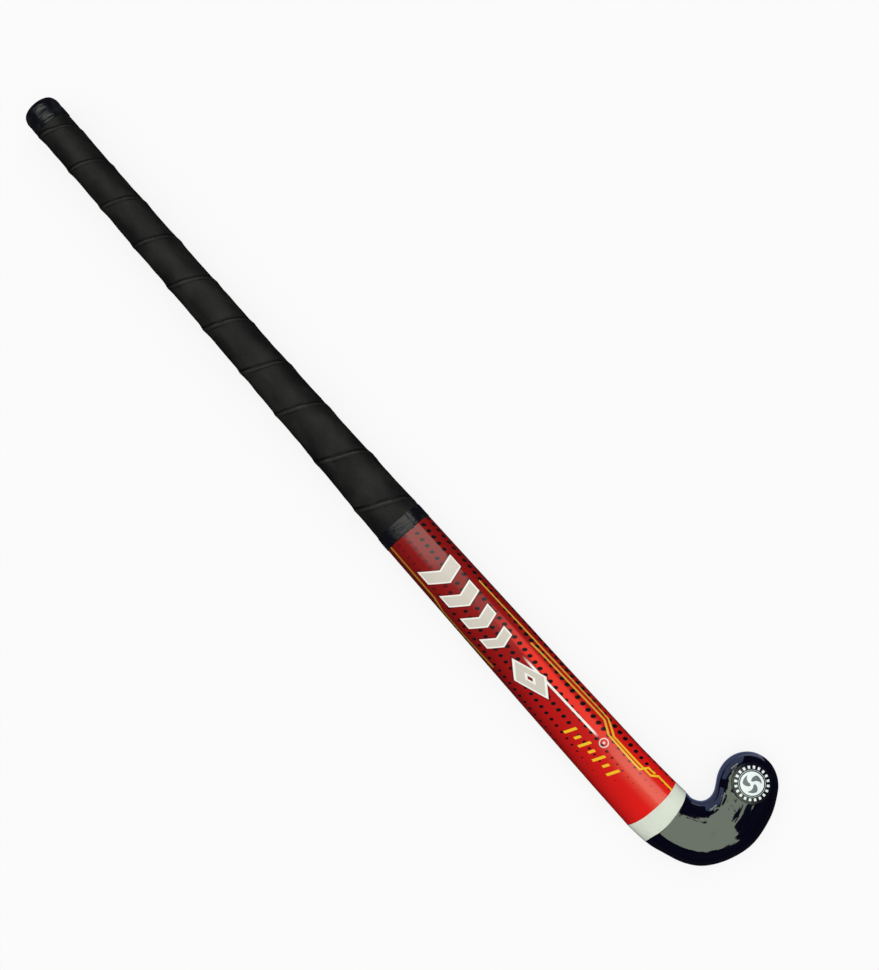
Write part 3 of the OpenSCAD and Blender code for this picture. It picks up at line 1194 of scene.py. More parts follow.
    def ground(self, sheet: Sheet, x: Value, girth: Value) -> tuple[Value, Value]:
        """Makes the red under the print, with painted shade on the heel side and painted highlights on the
        back.

        Args:
            sheet: The material's node tree.
            x: Place along the stick, in mm.
            girth: Place round it, in mm.

        Returns:
            The colour, and the mask of its soft painted highlight.
        """
        red = sheet.stops((x - self.red_start) / self.red_length, (0.0, self.dark), (0.38, self.deep),
                          (0.72, self.mid), (1.0, self.bright))
        cloud = sheet.noise(sheet.join(x * 0.02, girth * 0.05, 2.0), detail=3.0)
        # the heel side is darker, more so towards the grip: partly the print's darker red, partly painted
        # shade; the cloud adds random dark blotches
        shade = girth.ramp(-6.0, -30.0, 0.0, 0.75) * x.ramp(790.0, 620.0, 0.45, 1.0)
        red = sheet.mix(shade | cloud.ramp(0.55, 0.85, 0.0, 0.14), red, self.shade)
        # streak is a painted highlight: a bright red band along the back between the grip and the collar
        streak = abs(girth - 9.6).ramp(5.5, 2.0) * x.ramp(565.0, 640.0) * x.ramp(745.0, 705.0)
        red = sheet.mix(streak, red, self.streak)
        # glow is a painted highlight: a soft pale orange patch on the back near the collar
        glow = abs(girth - 6.0).ramp(11.0, 1.0) * x.ramp(700.0, 765.0)
        return sheet.mix(glow * 0.55, red, self.glow), glow

    def material(self, name: str) -> bpy.types.Material:
        """Makes the finish.

        Args:
            name: The material's name.

        Returns:
            The material.
        """
        sheet = Sheet(name, ior=1.5, specular_ior_level=0.1, coat_weight=1.0, coat_roughness=0.1)
        x, girth = sheet.wrap()
        colour, glow = self.ground(sheet, x, girth)
        faint = 1.0 - x.ramp(560.0, 530.0) * girth.ramp(4.0, -6.0) * 0.6
        # the dots show less under the painted highlight
        dots = self.dots.mask(x, girth) * abs(girth).within(self.dots_reach, 2.0) * (1.0 - glow * 0.5) * faint
        colour = sheet.mix(dots, colour, self.black)
        colour = sheet.mix(self.line(sheet, x, girth, self.heel_line, self.heel_half), colour, self.olive)
        lines = self.pin_lines(sheet, x, girth)
        colour = sheet.mix(lines, colour, sheet.mix(x.ramp(690.0, 745.0), self.brass, self.gold))
        tail, ring = self.comet(sheet, x, girth)
        outer = self.device(x, girth, self.edging)
        colour = sheet.mix(self.device(x, girth, self.edging + self.halo) * 0.6, colour, self.shade)
        colour = sheet.mix(outer | tail | ring * 0.75, colour, self.white)
        colour = sheet.mix(self.device(x, girth), colour, self.cream)
        dash: Numeric = 0.0
        for figure in self.dashes:
            dash = self.bar(x, girth, figure) | dash
        colour = sheet.mix(dash, colour, self.gold)
        scuff = sheet.noise(sheet.join(x * 0.15, girth * 0.9, 7.0), detail=6.0, rough=0.7)
        height = (outer | lines) * 0.3 + sheet.noise(sheet.join(x * 0.06, girth * 0.16, 3.0), detail=2.0)
        return sheet.dress(colour, scuff.ramp(0.5, 0.8, 0.3, 0.4), height, 0.12, 0.5)


@dataclass(frozen=True)
class BandLacquer:
    """Off-white gloss lacquer with faint brush marks and specks of dust."""

    colour: Colour = srgb(214, 220, 207)
    stain: Colour = srgb(190, 197, 186)

    def material(self, name: str) -> bpy.types.Material:
        """Makes the finish.

        Args:
            name: The material's name.

        Returns:
            The material.
        """
        sheet = Sheet(name, ior=1.5)
        x, girth = sheet.wrap()
        brush = sheet.noise(sheet.join(x * 1.6, girth * 0.12, 0.0), detail=4.0)
        cloud = sheet.noise(sheet.join(x * 0.12, girth * 0.12, 5.0), detail=3.0)
        colour = sheet.mix(cloud.ramp(0.45, 0.8) * 0.6, self.colour, self.stain)
        return sheet.dress(colour, brush * 0.2 + 0.16, brush + cloud, 0.15, 0.5)


@dataclass(frozen=True)
class HeadLacquer:
    """Navy-black lacquer, mirror-like and slightly uneven, with hair scratches."""

    colour: Colour = srgb(3, 2, 14)
    glow: Colour = srgb(7, 6, 20)

    def material(self, name: str) -> bpy.types.Material:
        """Makes the finish.

        Args:
            name: The material's name.

        Returns:
            The material.
        """
        sheet = Sheet(name, ior=1.5, specular_ior_level=0.85)
        x, girth = sheet.wrap()
        streak = sheet.noise(sheet.join(x * 0.03, girth * 0.2, 0.0), detail=2.0, rough=0.4)
        lump = sheet.noise(sheet.join(x * 0.1, girth * 0.12, 3.0), detail=2.0, rough=0.4)
        scratch = sheet.noise(sheet.join(x * 0.12, girth * 1.6, 6.0), detail=5.0, rough=0.7)
        brush = sheet.noise(sheet.join(x * 0.02, girth * 0.5, 9.0), detail=3.0)
        colour = sheet.mix(brush.ramp(0.35, 0.7), self.colour, self.glow)
        height = streak * 0.8 + lump * 0.35 + scratch * 0.008
        return sheet.dress(colour, scratch.ramp(0.45, 0.8, 0.05, 0.12), height, 0.9, 0.35)


@dataclass(frozen=True)
class DiscPrint:
    """Black sticker with a white middle, a grey pinwheel in it and a ring of plain white bars.

    The centre is in mm on the stick, and every radius is from there.
    """

    centre: tuple[float, float] = (824.46, 76.94)
    bars: int = 20
    bar_r: float = 13.0
    bar_half: float = 1.15
    rim_r: float = 10.7
    white_r: float = 9.6
    blades: int = 3
    wheel_r: float = 7.6
    twist: float = 0.5
    hub: tuple[float, float] = (1.5, 1.9)
    black: Colour = srgb(10, 10, 22)
    white: Colour = srgb(222, 226, 228)
    grey: Colour = srgb(92, 96, 104)

    def material(self, name: str, form: StickForm) -> bpy.types.Material:
        """Makes the finish.

        Args:
            name: The material's name.
            form: The stick, which says where its own zero lies in the shared frame.

        Returns:
            The material.
        """
        sheet = Sheet(name, ior=1.5)
        x, y, _ = sheet.place()
        dx = x - (self.centre[0] - form.reach / 2.0)
        dy = y - (self.centre[1] - form.mid_y)
        reach = (dx**2.0 + dy**2.0).root()
        turn = sheet.math("ARCTAN2", dy, dx)
        bars = (turn * float(self.bars)).wave().ramp(-0.05, 0.25)
        bars = bars * abs(reach - self.bar_r).within(self.bar_half, 0.15)
        rim = abs(reach - self.rim_r).within(0.2, 0.12)
        wheel = (turn * float(self.blades) + reach * self.twist).wave().ramp(-0.2, 0.15)
        wheel = wheel * reach.within(self.wheel_r, 0.2) * reach.ramp(*self.hub)
        colour = sheet.mix(reach.within(self.white_r, 0.15) | bars | rim * 0.7, self.black, self.white)
        colour = sheet.mix(wheel, colour, self.grey)
        height = sheet.noise(sheet.join(x * 0.3, y * 0.3, 0.0), detail=3.0)
        return sheet.dress(colour, height * 0.16 + 0.14, height, 0.1, 0.6)


@dataclass(frozen=True)
class Rubber:
    """Black rubber with a dusty bloom."""

    colour: Colour = srgb(22, 22, 23)
    bloom: Colour = srgb(48, 48, 47)

    def material(self, name: str) -> bpy.types.Material:
        """Makes the finish.

        Args:
            name: The material's name.

        Returns:
            The material.
        """
        sheet = Sheet(name, ior=1.45)
        x, y, z = sheet.place()
        where = sheet.join(x, y, z)
        fine = sheet.noise(where, 1.8, 4.0, 0.65)
        cloud = sheet.noise(where, 0.12, 3.0)
        colour = sheet.mix(cloud.ramp(0.45, 0.75), self.colour, self.bloom)
        return sheet.dress(colour, fine * 0.2 + 0.55, fine, 0.08, 0.6)


@dataclass(frozen=True)
class Timber:
    """Bare wood with long grain, rings and pores."""

    light: Colour
    dark: Colour
    ring: float = 0.55
    pore: float = 0.5

    def material(self, name: str) -> bpy.types.Material:
        """Makes the finish.

        Args:
            name: The material's name.

        Returns:
            The material.
        """
        sheet = Sheet(name, ior=1.45)
        x, y, z = sheet.place()
        bend = sheet.noise(sheet.join(x * 0.006, y * 0.05, z * 0.05), detail=3.0) * 9.0
        ring = ((y * 0.6 + z * 0.35 + bend) * (2.0 * math.pi * self.ring)).wave() * 0.5 + 0.5
        fibre = sheet.noise(sheet.join(x * 0.05, y * 2.4, z * 2.4), detail=5.0, rough=0.65)
        pores = sheet.noise(sheet.join(x * 0.16, y * 5.0, z * 5.0), detail=2.0).ramp(0.62, 0.72)
        share = ring * 0.45 + fibre * 0.5 + pores * self.pore
        colour = sheet.mix(share.ramp(0.15, 1.0), self.light, self.dark)
        return sheet.dress(colour, fibre * 0.25 + 0.48, fibre - pores * 0.8, 0.15, 0.7)


@dataclass(frozen=True)
class Cloth:
    """Threads crossing each other, dry or set in clear resin, with a pitch in mm."""

    light: Colour
    dark: Colour
    pitch: float
    rough: float

    def material(self, name: str) -> bpy.types.Material:
        """Makes the finish.

        Args:
            name: The material's name.

        Returns:
            The material.
        """
        sheet = Sheet(name, ior=1.5)
        x, y, z = sheet.place()
        step = math.pi / self.pitch
        warp = ((x + y) * step).wave()
        weft = ((x - y + z * 0.6) * step).wave()
        weave = abs(warp) * 0.5 + abs(weft) * 0.5
        slub = sheet.noise(sheet.join(x * 0.3, y * 0.3, z * 0.3), detail=4.0)
        colour = sheet.mix(weave * 0.7 + slub * 0.3, self.dark, self.light)
        return sheet.dress(colour, slub * 0.2 + self.rough, weave + slub * 0.4, self.pitch * 0.2, 0.8)


@dataclass(frozen=True)
class TwineCord:
    """Waxed cord wound round and round, with the lay of its strands.

    The axis is the Y and Z that the turns are counted round, in mm in the shared frame.
    """

    light: Colour = srgb(206, 184, 132)
    dark: Colour = srgb(142, 116, 70)
    pitch: float = 1.25
    axis: tuple[float, float] = (-39.0, 14.0)
    strands: float = 60.0

    def material(self, name: str) -> bpy.types.Material:
        """Makes the finish.

        Args:
            name: The material's name.

        Returns:
            The material.
        """
        sheet = Sheet(name, ior=1.45)
        x, y, z = sheet.place()
        turn = sheet.math("ARCTAN2", y - self.axis[0], z - self.axis[1])
        cord = abs(((x + turn * (self.pitch / (2.0 * math.pi))) * (math.pi / self.pitch)).wave())
        lay = (x * 1.4 + turn * self.strands).wave() * 0.5 + 0.5
        fuzz = sheet.noise(sheet.join(x * 2.0, y * 2.0, z * 2.0), detail=4.0)
        share = cord * 0.6 + lay * 0.2 + fuzz * 0.3
        colour = sheet.mix(share, self.dark, self.light)
        return sheet.dress(colour, fuzz * 0.2 + 0.5, cord + lay * 0.2, 0.4, 0.9)


# ---- Pieces ----


@dataclass
class ButtEnd:
    """The rubber plug in the butt and the glossy tape folded over it.

    A ring of the plug is how far its end face is inset, and how far that face is then pushed in. The tape's
    path runs from the plug's rim out and along the handle, as distances from the butt and radii. Each turn of
    the tape lies on the one before along a slanting line, every lap_pitch.
    """

    form: StickForm
    sides: int = 96
    axis_z: float = 16.45
    plug_start: float = 0.9
    plug_r: float = 14.8
    plug_depth: float = 4.2
    plug_rings: tuple[tuple[float, float], ...] = (
        (6.0, 0.0), (0.4, 0.5), (2.2, 0.0), (0.4, -0.5), (3.6, 0.0), (0.5, 0.7))
    plug_edge: float = 0.16
    tape_r: float = 16.45
    tape_t: float = 0.45
    tape_path: tuple[tuple[float, float], ...] = (
        (0.95, 9.6), (0.35, 10.3), (0.12, 11.4), (0.25, 12.8), (0.75, 14.2), (1.7, 15.4), (3.1, 16.1),
        (4.8, 16.35), (7.0, 16.4), (9.0, 16.4), (11.0, 16.4), (13.0, 16.4), (15.0, 16.4), (17.0, 16.4),
        (19.0, 16.4), (20.6, 16.4), (21.6, 16.35), (22.0, 16.1), (22.02, 15.8))
    lumps: Lumps = Lumps(((19.0, 2), (11.0, 3), (8.0, -4), (26.0, 5)), 5)
    lump_h: float = 0.22
    slack: float = 0.2
    pleats: Lumps = Lumps(((1.0, 11), (1.0, 17), (1.0, 7), (1.0, 23)), 9)
    pleat_h: float = 0.12
    pleat_push: float = 0.3
    lap_start: float = 6.5
    lap_slant: float = 8.0
    lap_pitch: float = 15.0
    lap_t: float = 0.22

    def plug(self) -> bpy.types.Object:
        """Models the plug: a disc with a moulded ring and a dimple in its end.

        Returns:
            The plug.
        """
        place = self.form.place(np.array([self.plug_start + self.plug_depth / 2.0, 0.0, self.axis_z]))
        obj = primitive(
            "butt_plug", bpy.ops.mesh.primitive_cylinder_add, vertices=64, radius=self.plug_r * MM,
            depth=self.plug_depth * MM, location=tuple(place), rotation=(0.0, math.pi / 2.0, 0.0),
        )
        for inset, push in self.plug_rings:
            # the middle of the end is its face with the most corners
            faces = obj.data.polygons
            corners = np.where(face_normals(obj)[:, 0] < -0.9, [len(face.vertices) for face in faces], 0)
            rank = corners * 1e6 + np.array([face.area for face in faces])
            with editing(obj, Pick.FACES, np.arange(len(rank)) == np.argmax(rank)):
                bpy.ops.mesh.inset(thickness=inset * MM, depth=0.0)
                bpy.ops.transform.translate(value=(push * MM, 0.0, 0.0))
        apply_modifier(obj, "BEVEL", width=self.plug_edge * MM, segments=2, limit_method="ANGLE",
                       angle_limit=math.radians(35.0))
        round_off(obj)
        return finish_piece(obj, "butt_rubber", Rubber().material("butt_rubber"), "butt_cap")

    def tape(self) -> bpy.types.Object:
        """Models the tape: a lumpy tube whose end is pleated over the plug.

        Returns:
            The tape.
        """
        path = np.array(self.tape_path)
        tube = Tube("butt_finishing_tape", self.sides, (5, 8))
        share = np.linspace(0.0, len(path) - 1.0, tube.rings)
        x = np.interp(share, np.arange(len(path)), path[:, 0])[:, None]
        radius = np.interp(share, np.arange(len(path)), path[:, 1])[:, None]
        turn = (np.arange(self.sides) / self.sides)[None, :]
        lumps = self.lumps.height(x, turn)
        pleats = self.pleats.height(x * 0.0, turn + x * 0.01)
        on_end = 1.0 - smooth(x, 0.6, 3.4)
        lap = smooth((x - self.lap_start - self.lap_slant * turn) % self.lap_pitch, 0.0, 0.7) * self.lap_t
        radius = radius + (self.lump_h * lumps - self.slack) * (1.0 - on_end) + self.pleat_h * pleats * on_end
        radius = radius + lap * smooth(x, 3.0, 5.0) * (1.0 - smooth(x, 20.5, 21.6))
        radius = np.minimum(radius, self.tape_r)
        x = x + self.pleat_push * (pleats + 0.6) * on_end * smooth(radius, 9.0, 12.0)
        x = np.maximum(x, 0.02)
        turn = turn * 2.0 * math.pi
        points = np.stack([x + turn * 0.0, radius * np.sin(turn), self.axis_z + radius * np.cos(turn)], axis=-1)
        points[..., 2] = np.maximum(points[..., 2], 0.0)
        girth = np.where(turn > math.pi, turn - 2.0 * math.pi, turn) * self.tape_r + x * 0.0
        tube.lay(self.form.place(points), x + girth * 0.0, girth)
        turn_outwards(tube.obj)
        apply_modifier(tube.obj, "SOLIDIFY", thickness=self.tape_t * MM, offset=-1.0)
        round_off(tube.obj, 50.0)
        return finish_piece(tube.obj, "finishing_tape", GlossTape().material("butt_tape_gloss"), "butt_tape")


@dataclass
class SpiralGrip:
    """The grip tape: one strip wound from the butt down, each turn lying over the last.

    A seam is where the strip's edge crosses the middle of the back, as a distance from the butt. The heights
    are the strip's section: shares of its width, and lifts in mm. It is pressed flatter on the face side, and
    its ends are tucked under the two finishing tapes.
    """

    form: StickForm
    sides: int = 96
    start: float = 6.0
    end: float = 477.6
    seams: tuple[float, ...] = (
        -102.0, -58.0, -14.0, 29.0, 69.3, 113.2, 158.0, 205.7, 253.2, 303.0, 349.1, 403.5, 455.6, 510.0, 566.0)
    top: float = 32.85
    wall: float = 1.0
    pressed: float = 0.62
    tucked: float = 0.12
    lumps: Lumps = Lumps(((61.0, 1), (37.0, 2), (23.0, -3), (90.0, 4), (17.0, 5)), 3)
    lump_h: float = 0.13
    across: tuple[float, ...] = (
        0.0, 0.006, 0.014, 0.024, 0.036, 0.052, 0.07, 0.09, 0.112, 0.14, 0.175, 0.22, 0.28, 0.36, 0.45,
        0.55, 0.65, 0.74, 0.82, 0.885, 0.93, 0.96, 0.982, 1.0)
    heights: tuple[tuple[float, float], ...] = (
        (0.0, -0.28), (0.006, 0.05), (0.014, 0.5), (0.024, 0.72), (0.036, 0.8), (0.052, 0.74), (0.07, 0.62),
        (0.09, 0.5), (0.112, 0.38), (0.14, 0.26), (0.175, 0.14), (0.22, 0.05), (0.36, 0.0), (0.8, 0.0),
        (0.93, 0.02), (0.96, -0.02), (0.982, -0.12), (1.0, -0.28))

    def profile(self) -> bpy.types.Object:
        """Models the section of one turn as a line, kept from one side of a plane.

        Returns:
            The line.
        """
        obj = primitive("grip_spiral", bpy.ops.mesh.primitive_plane_add, size=1.0, location=(0.5, 0.5, 1.0))
        with editing(obj, Pick.VERTS, coordinates(obj)[:, 1] > 0.5):
            bpy.ops.mesh.delete(type="VERT")
        cells = len(self.across) - 1
        with editing(obj, Pick.EDGES):
            bpy.ops.mesh.subdivide(number_cuts=cells - 1)
        at = coordinates(obj)
        at[:, 0] = np.array(self.across)[np.rint(at[:, 0] * cells).astype(int)]
        move_to(obj, at)
        return obj

    def build(self) -> bpy.types.Object:
        """Winds the line into a strip, lays it on the handle and trims its ends.

        Returns:
            The grip.
        """
        obj = self.profile()
        turns = len(self.seams) - 2
        apply_modifier(obj, "SCREW", axis="X", angle=2.0 * math.pi, screw_offset=1.0, iterations=turns,
                       steps=self.sides, render_steps=self.sides, use_merge_vertices=True,
                       merge_threshold=1e-5)
        at = coordinates(obj)
        turn = np.arctan2(at[:, 1], at[:, 2]) / (2.0 * math.pi)
        wound = at[:, 0]
        # this takes the rounding noise out of the columns
        column = np.rint(turn * self.sides * 8.0) / 8.0
        x = np.interp(wound, np.arange(len(self.seams)), self.seams)
        share = (wound - turn) % 1.0
        share = np.where(share > 1.0 - 1e-4, 0.0, share)
        strip = np.array(self.heights)
        height = np.interp(share, strip[:, 0], strip[:, 1])
        stations = np.linspace(-60.0, 560.0, 311)
        skin = Skin.through([(self.form.shaft_rib(s), float(s), 0.0) for s in stations], self.sides)
        side = np.cos(2.0 * math.pi * turn)
        height = height * blend(self.pressed, 1.0, smooth(side, -0.7, 0.1))
        height = height + self.lump_h * self.lumps.height(x, turn)
        between_tapes = (1.0 - smooth(x, 466.0, 476.0)) * smooth(x, 8.0, 16.0)
        height = height * between_tapes - self.tucked * (1.0 - between_tapes)
        points = skin.spot(skin.row_at(x), column, height)
        points[:, 2] = np.clip(points[:, 2], 0.02, self.top)
        points[:, 0] = x
        move_to(obj, self.form.place(points))
        # this map counts turns of the strip, not metres
        lay_map(obj, wound / MM, turn / MM, 1.0 / MM)
        for limit, clear in ((self.start, "clear_inner"), (self.end, "clear_outer")):
            plane = self.form.place(np.array([limit, 0.0, 0.0]))
            with editing(obj, Pick.FACES):
                bpy.ops.mesh.bisect(plane_co=tuple(plane), plane_no=(1.0, 0.0, 0.0), **{clear: True})
        merge_doubles(obj, 2e-6)
        apply_modifier(obj, "SOLIDIFY", thickness=self.wall * MM, offset=-1.0)
        round_off(obj, 60.0)
        return finish_piece(obj, "grip", GripSkin().material("grip_polyurethane"), "grip_wrap")


@dataclass
class LowerTape:
    """The glossy tape that holds the lower end of the grip.

    Its loose end lies over the first turn, from the toe side to the lap, which is a distance round the stick
    from the middle of the back.
    """

    form: StickForm
    sides: int = 192
    start: float = 476.0
    length: float = 13.0
    thick: float = 0.4
    edge_t: float = 0.08
    wall: float = 0.3
    lap: float = 9.4
    lap_step: float = 0.16
    lap_ridge: float = 0.14
    lumps: Lumps = Lumps(((16.0, 2), (11.0, -3), (30.0, 5)), 21)
    lump_h: float = 0.05

    def build(self) -> bpy.types.Object:
        """Models the tape with its crisp edges and its loose end.

        Returns:
            The tape.
        """
        tube = Tube("lower_finishing_tape", self.sides, (2, 9))
        share = np.linspace(-1.0, 1.0, tube.rings)
        x = self.start + self.length * (0.5 + 0.5 * np.sign(share) * np.abs(share) ** 0.6)
        skin = Skin.through([(self.form.shaft_rib(float(s)), float(s), 0.0) for s in x], self.sides)
        edge = np.minimum(x - self.start, self.start + self.length - x)
        rise = blend(self.edge_t, self.thick, smooth(edge, 0.0, 0.3))[:, None]
        girth = skin.girth
        over = 1.0 - smooth(girth, self.lap - 0.8, self.lap)
        step = np.where(np.abs(girth) < 45.0, over, 1.0) * self.lap_step
        ridge = self.lap_ridge * np.exp(-(((girth - self.lap + 1.4) / 0.7) ** 2))
        bulge = self.lumps.height(x[:, None], np.arange(self.sides)[None, :] / self.sides)
        lift = rise * (0.62 + (step + ridge) / self.thick) + self.lump_h * bulge * (rise / self.thick)
        lift = np.minimum(lift, self.thick + 0.12)
        points = skin.ground + (skin.raised - skin.ground) * lift[..., None]
        points[..., 2] = np.maximum(points[..., 2], 0.01)
        tube.lay(self.form.place(points), np.broadcast_to(x[:, None], girth.shape), girth)
        turn_outwards(tube.obj)
        apply_modifier(tube.obj, "SOLIDIFY", thickness=self.wall * MM, offset=-1.0)
        round_off(tube.obj, 50.0)
        return finish_piece(tube.obj, "finishing_tape", GlossTape().material("lower_tape_gloss"), "lower_tape")


@dataclass(frozen=True)
class Collar:
    """Where the two edges of the pale band run, by place across the stick.

    The band lies between the neck and the first rib of the head, and both edges bow to the head. A bow is how
    far, in mm, at each place across from the heel side, -1, to the toe side, 1. Past is the way from the first
    rib to the second.
    """

    form: StickForm
    length: float = 14.0
    past: float = 12.5
    across: tuple[float, ...] = (-1.0, -0.95, -0.8, -0.65, -0.5, -0.3, 0.0, 0.3, 0.5, 0.65, 0.8, 0.9, 1.0)
    shaft_bow: tuple[float, ...] = (-0.2, 0.0, 0.5, 1.0, 1.5, 1.9, 2.1, 2.0, 1.7, 1.2, 0.6, 0.1, -0.2)
    head_bow: tuple[float, ...] = (-1.6, -1.5, -1.3, -0.6, 0.5, 1.5, 2.4, 2.5, 2.1, 1.7, 0.9, -0.2, -1.0)

    def rib(self, s: float) -> Rib:
        """Runs on from the shaft over the band into the head.

        Args:
            s: Distance from the butt, in mm, counted on along the band and the head.

        Returns:
            The section there.
        """
        neck = self.form.neck
        if s < neck:
            return self.form.shaft_rib(s)
        if s < neck + self.length:
            return self.form.head_rib((s - neck) / self.length)
        return self.form.head_rib(1.0 + (s - neck - self.length) / self.past)

    def skin(self, start: float, end: float, rings: int, sides: int) -> Skin:
        """A skin from one distance to another."""
        spots = np.linspace(start, end, rings)
        return Skin.through([(self.rib(float(s)), float(s), 0.0) for s in spots], sides)

    def share(self, sides: int) -> tuple[np.ndarray, np.ndarray]:
        """Says where the columns of a ring lie.

        Args:
            sides: Points in a ring.

        Returns:
            Place across the stick of each column, from -1 to 1, and 1 on the back and 0 on the face.
        """
        rib = self.form.head_rib(0.5)
        points = rib.outline(sides)[0]
        across = (points[:, :2] - rib.middle) @ rib.side / rib.half
        return np.clip(across, -1.0, 1.0), smooth(points[:, 2], 3.0, 8.0)

    def edges(self, sides: int) -> tuple[np.ndarray, np.ndarray]:
        """Says where the band starts and ends.

        Args:
            sides: Points in a ring.

        Returns:
            Distance of the shaft-side edge and of the head-side edge on each column.
        """
        across, back = self.share(sides)
        start = self.form.neck + np.interp(across, self.across, self.shaft_bow) * back
        end = self.form.neck + self.length + np.interp(across, self.across, self.head_bow) * back
        return start, end


@dataclass
class ShaftFilm:
    """The printed film from the lower tape to the collar band.

    It is laid on a skin of many rings, and the girth of one of them, print_ring, places the print round the
    whole film.
    """

    form: StickForm
    sides: int = 96
    start: float = 480.0
    thick: float = 0.28
    under: float = 0.5
    overrun: float = 5.0
    rings: int = 320
    print_ring: int = 150

    def build(self) -> bpy.types.Object:
        """Models the film as a thin sleeve on the shaft, whose end follows the band's edge.

        Returns:
            The film.
        """
        collar = Collar(self.form)
        tube = Tube("shaft_print", self.sides, (12, 11))
        skin = collar.skin(self.start, self.form.neck + self.overrun, self.rings, self.sides)
        end = collar.edges(self.sides)[0] + self.under
        s = self.start + np.linspace(0.0, 1.0, tube.rings)[:, None] * (end - self.start)[None, :]
        column = np.broadcast_to(np.arange(self.sides, dtype=float), s.shape)
        points = skin.spot(skin.row_at(s.ravel()), column.ravel(), np.zeros(s.size)).reshape(*s.shape, 3)
        points[..., 2] = np.maximum(points[..., 2], 0.0)
        tube.lay(self.form.place(points), s, np.broadcast_to(skin.girth[self.print_ring], s.shape))
        turn_outwards(tube.obj)
        apply_modifier(tube.obj, "SOLIDIFY", thickness=self.thick * MM, offset=-1.0)
        round_off(tube.obj, 60.0)
        # its red stays out of the mirror-like wall of the crook
        tube.obj.visible_glossy = False
        return finish_piece(tube.obj, "red_film", ShaftPrint().material("shaft_film_print"), "shaft_film")


@dataclass
class CollarBand:
    """The pale band between the shaft and the head.

    Reach is the stretch, from the neck, of the skin that it is laid on. Its edges are sunk in that skin, and
    the girth of one ring, middle_ring, serves for the whole band.
    """

    form: StickForm
    sides: int = 192
    reach: tuple[float, float] = (-2.0, 20.0)
    rings: int = 60
    middle_ring: int = 30
    sunk: float = 0.3
    proud: float = 0.16
    lip: float = 0.12
    wall: float = 0.3
    lumps: Lumps = Lumps(((9.0, 3), (14.0, 5), (7.0, -4)), 31)
    lump_h: float = 0.03

    def build(self) -> bpy.types.Object:
        """Models the band with soft bowed edges that stand a little proud, the head-side one most.

        Returns:
            The band.
        """
        collar = Collar(self.form)
        tube = Tube("collar_lacquer", self.sides, (3, 7))
        before, after = self.reach
        skin = collar.skin(self.form.neck + before, self.form.neck + after, self.rings, self.sides)
        start, end = collar.edges(self.sides)
        share = np.linspace(-1.0, 1.0, tube.rings)
        share = (0.5 + 0.5 * np.sign(share) * np.abs(share) ** 0.65)[:, None]
        s = start[None, :] + share * (end - start)[None, :]
        edge = np.minimum(s - start[None, :], end[None, :] - s)
        lift = blend(-self.sunk, self.proud, smooth(edge, 0.0, 0.5))
        lift = lift + self.lip * np.exp(-(((end[None, :] - s - 0.8) / 0.5) ** 2))
        turn = np.arange(self.sides)[None, :] / self.sides
        lift = lift + self.lump_h * self.lumps.height(s, turn)
        column = np.broadcast_to(np.arange(self.sides, dtype=float), s.shape)
        points = skin.spot(skin.row_at(s.ravel()), column.ravel(), lift.ravel()).reshape(*s.shape, 3)
        points[..., 2] = np.maximum(points[..., 2], 0.0)
        tube.lay(self.form.place(points), s, np.broadcast_to(skin.girth[self.middle_ring], s.shape))
        turn_outwards(tube.obj)
        apply_modifier(tube.obj, "SOLIDIFY", thickness=self.wall * MM, offset=-1.0)
        round_off(tube.obj, 50.0)
        return finish_piece(tube.obj, "pale_band", BandLacquer().material("collar_lacquer"), "collar_band")


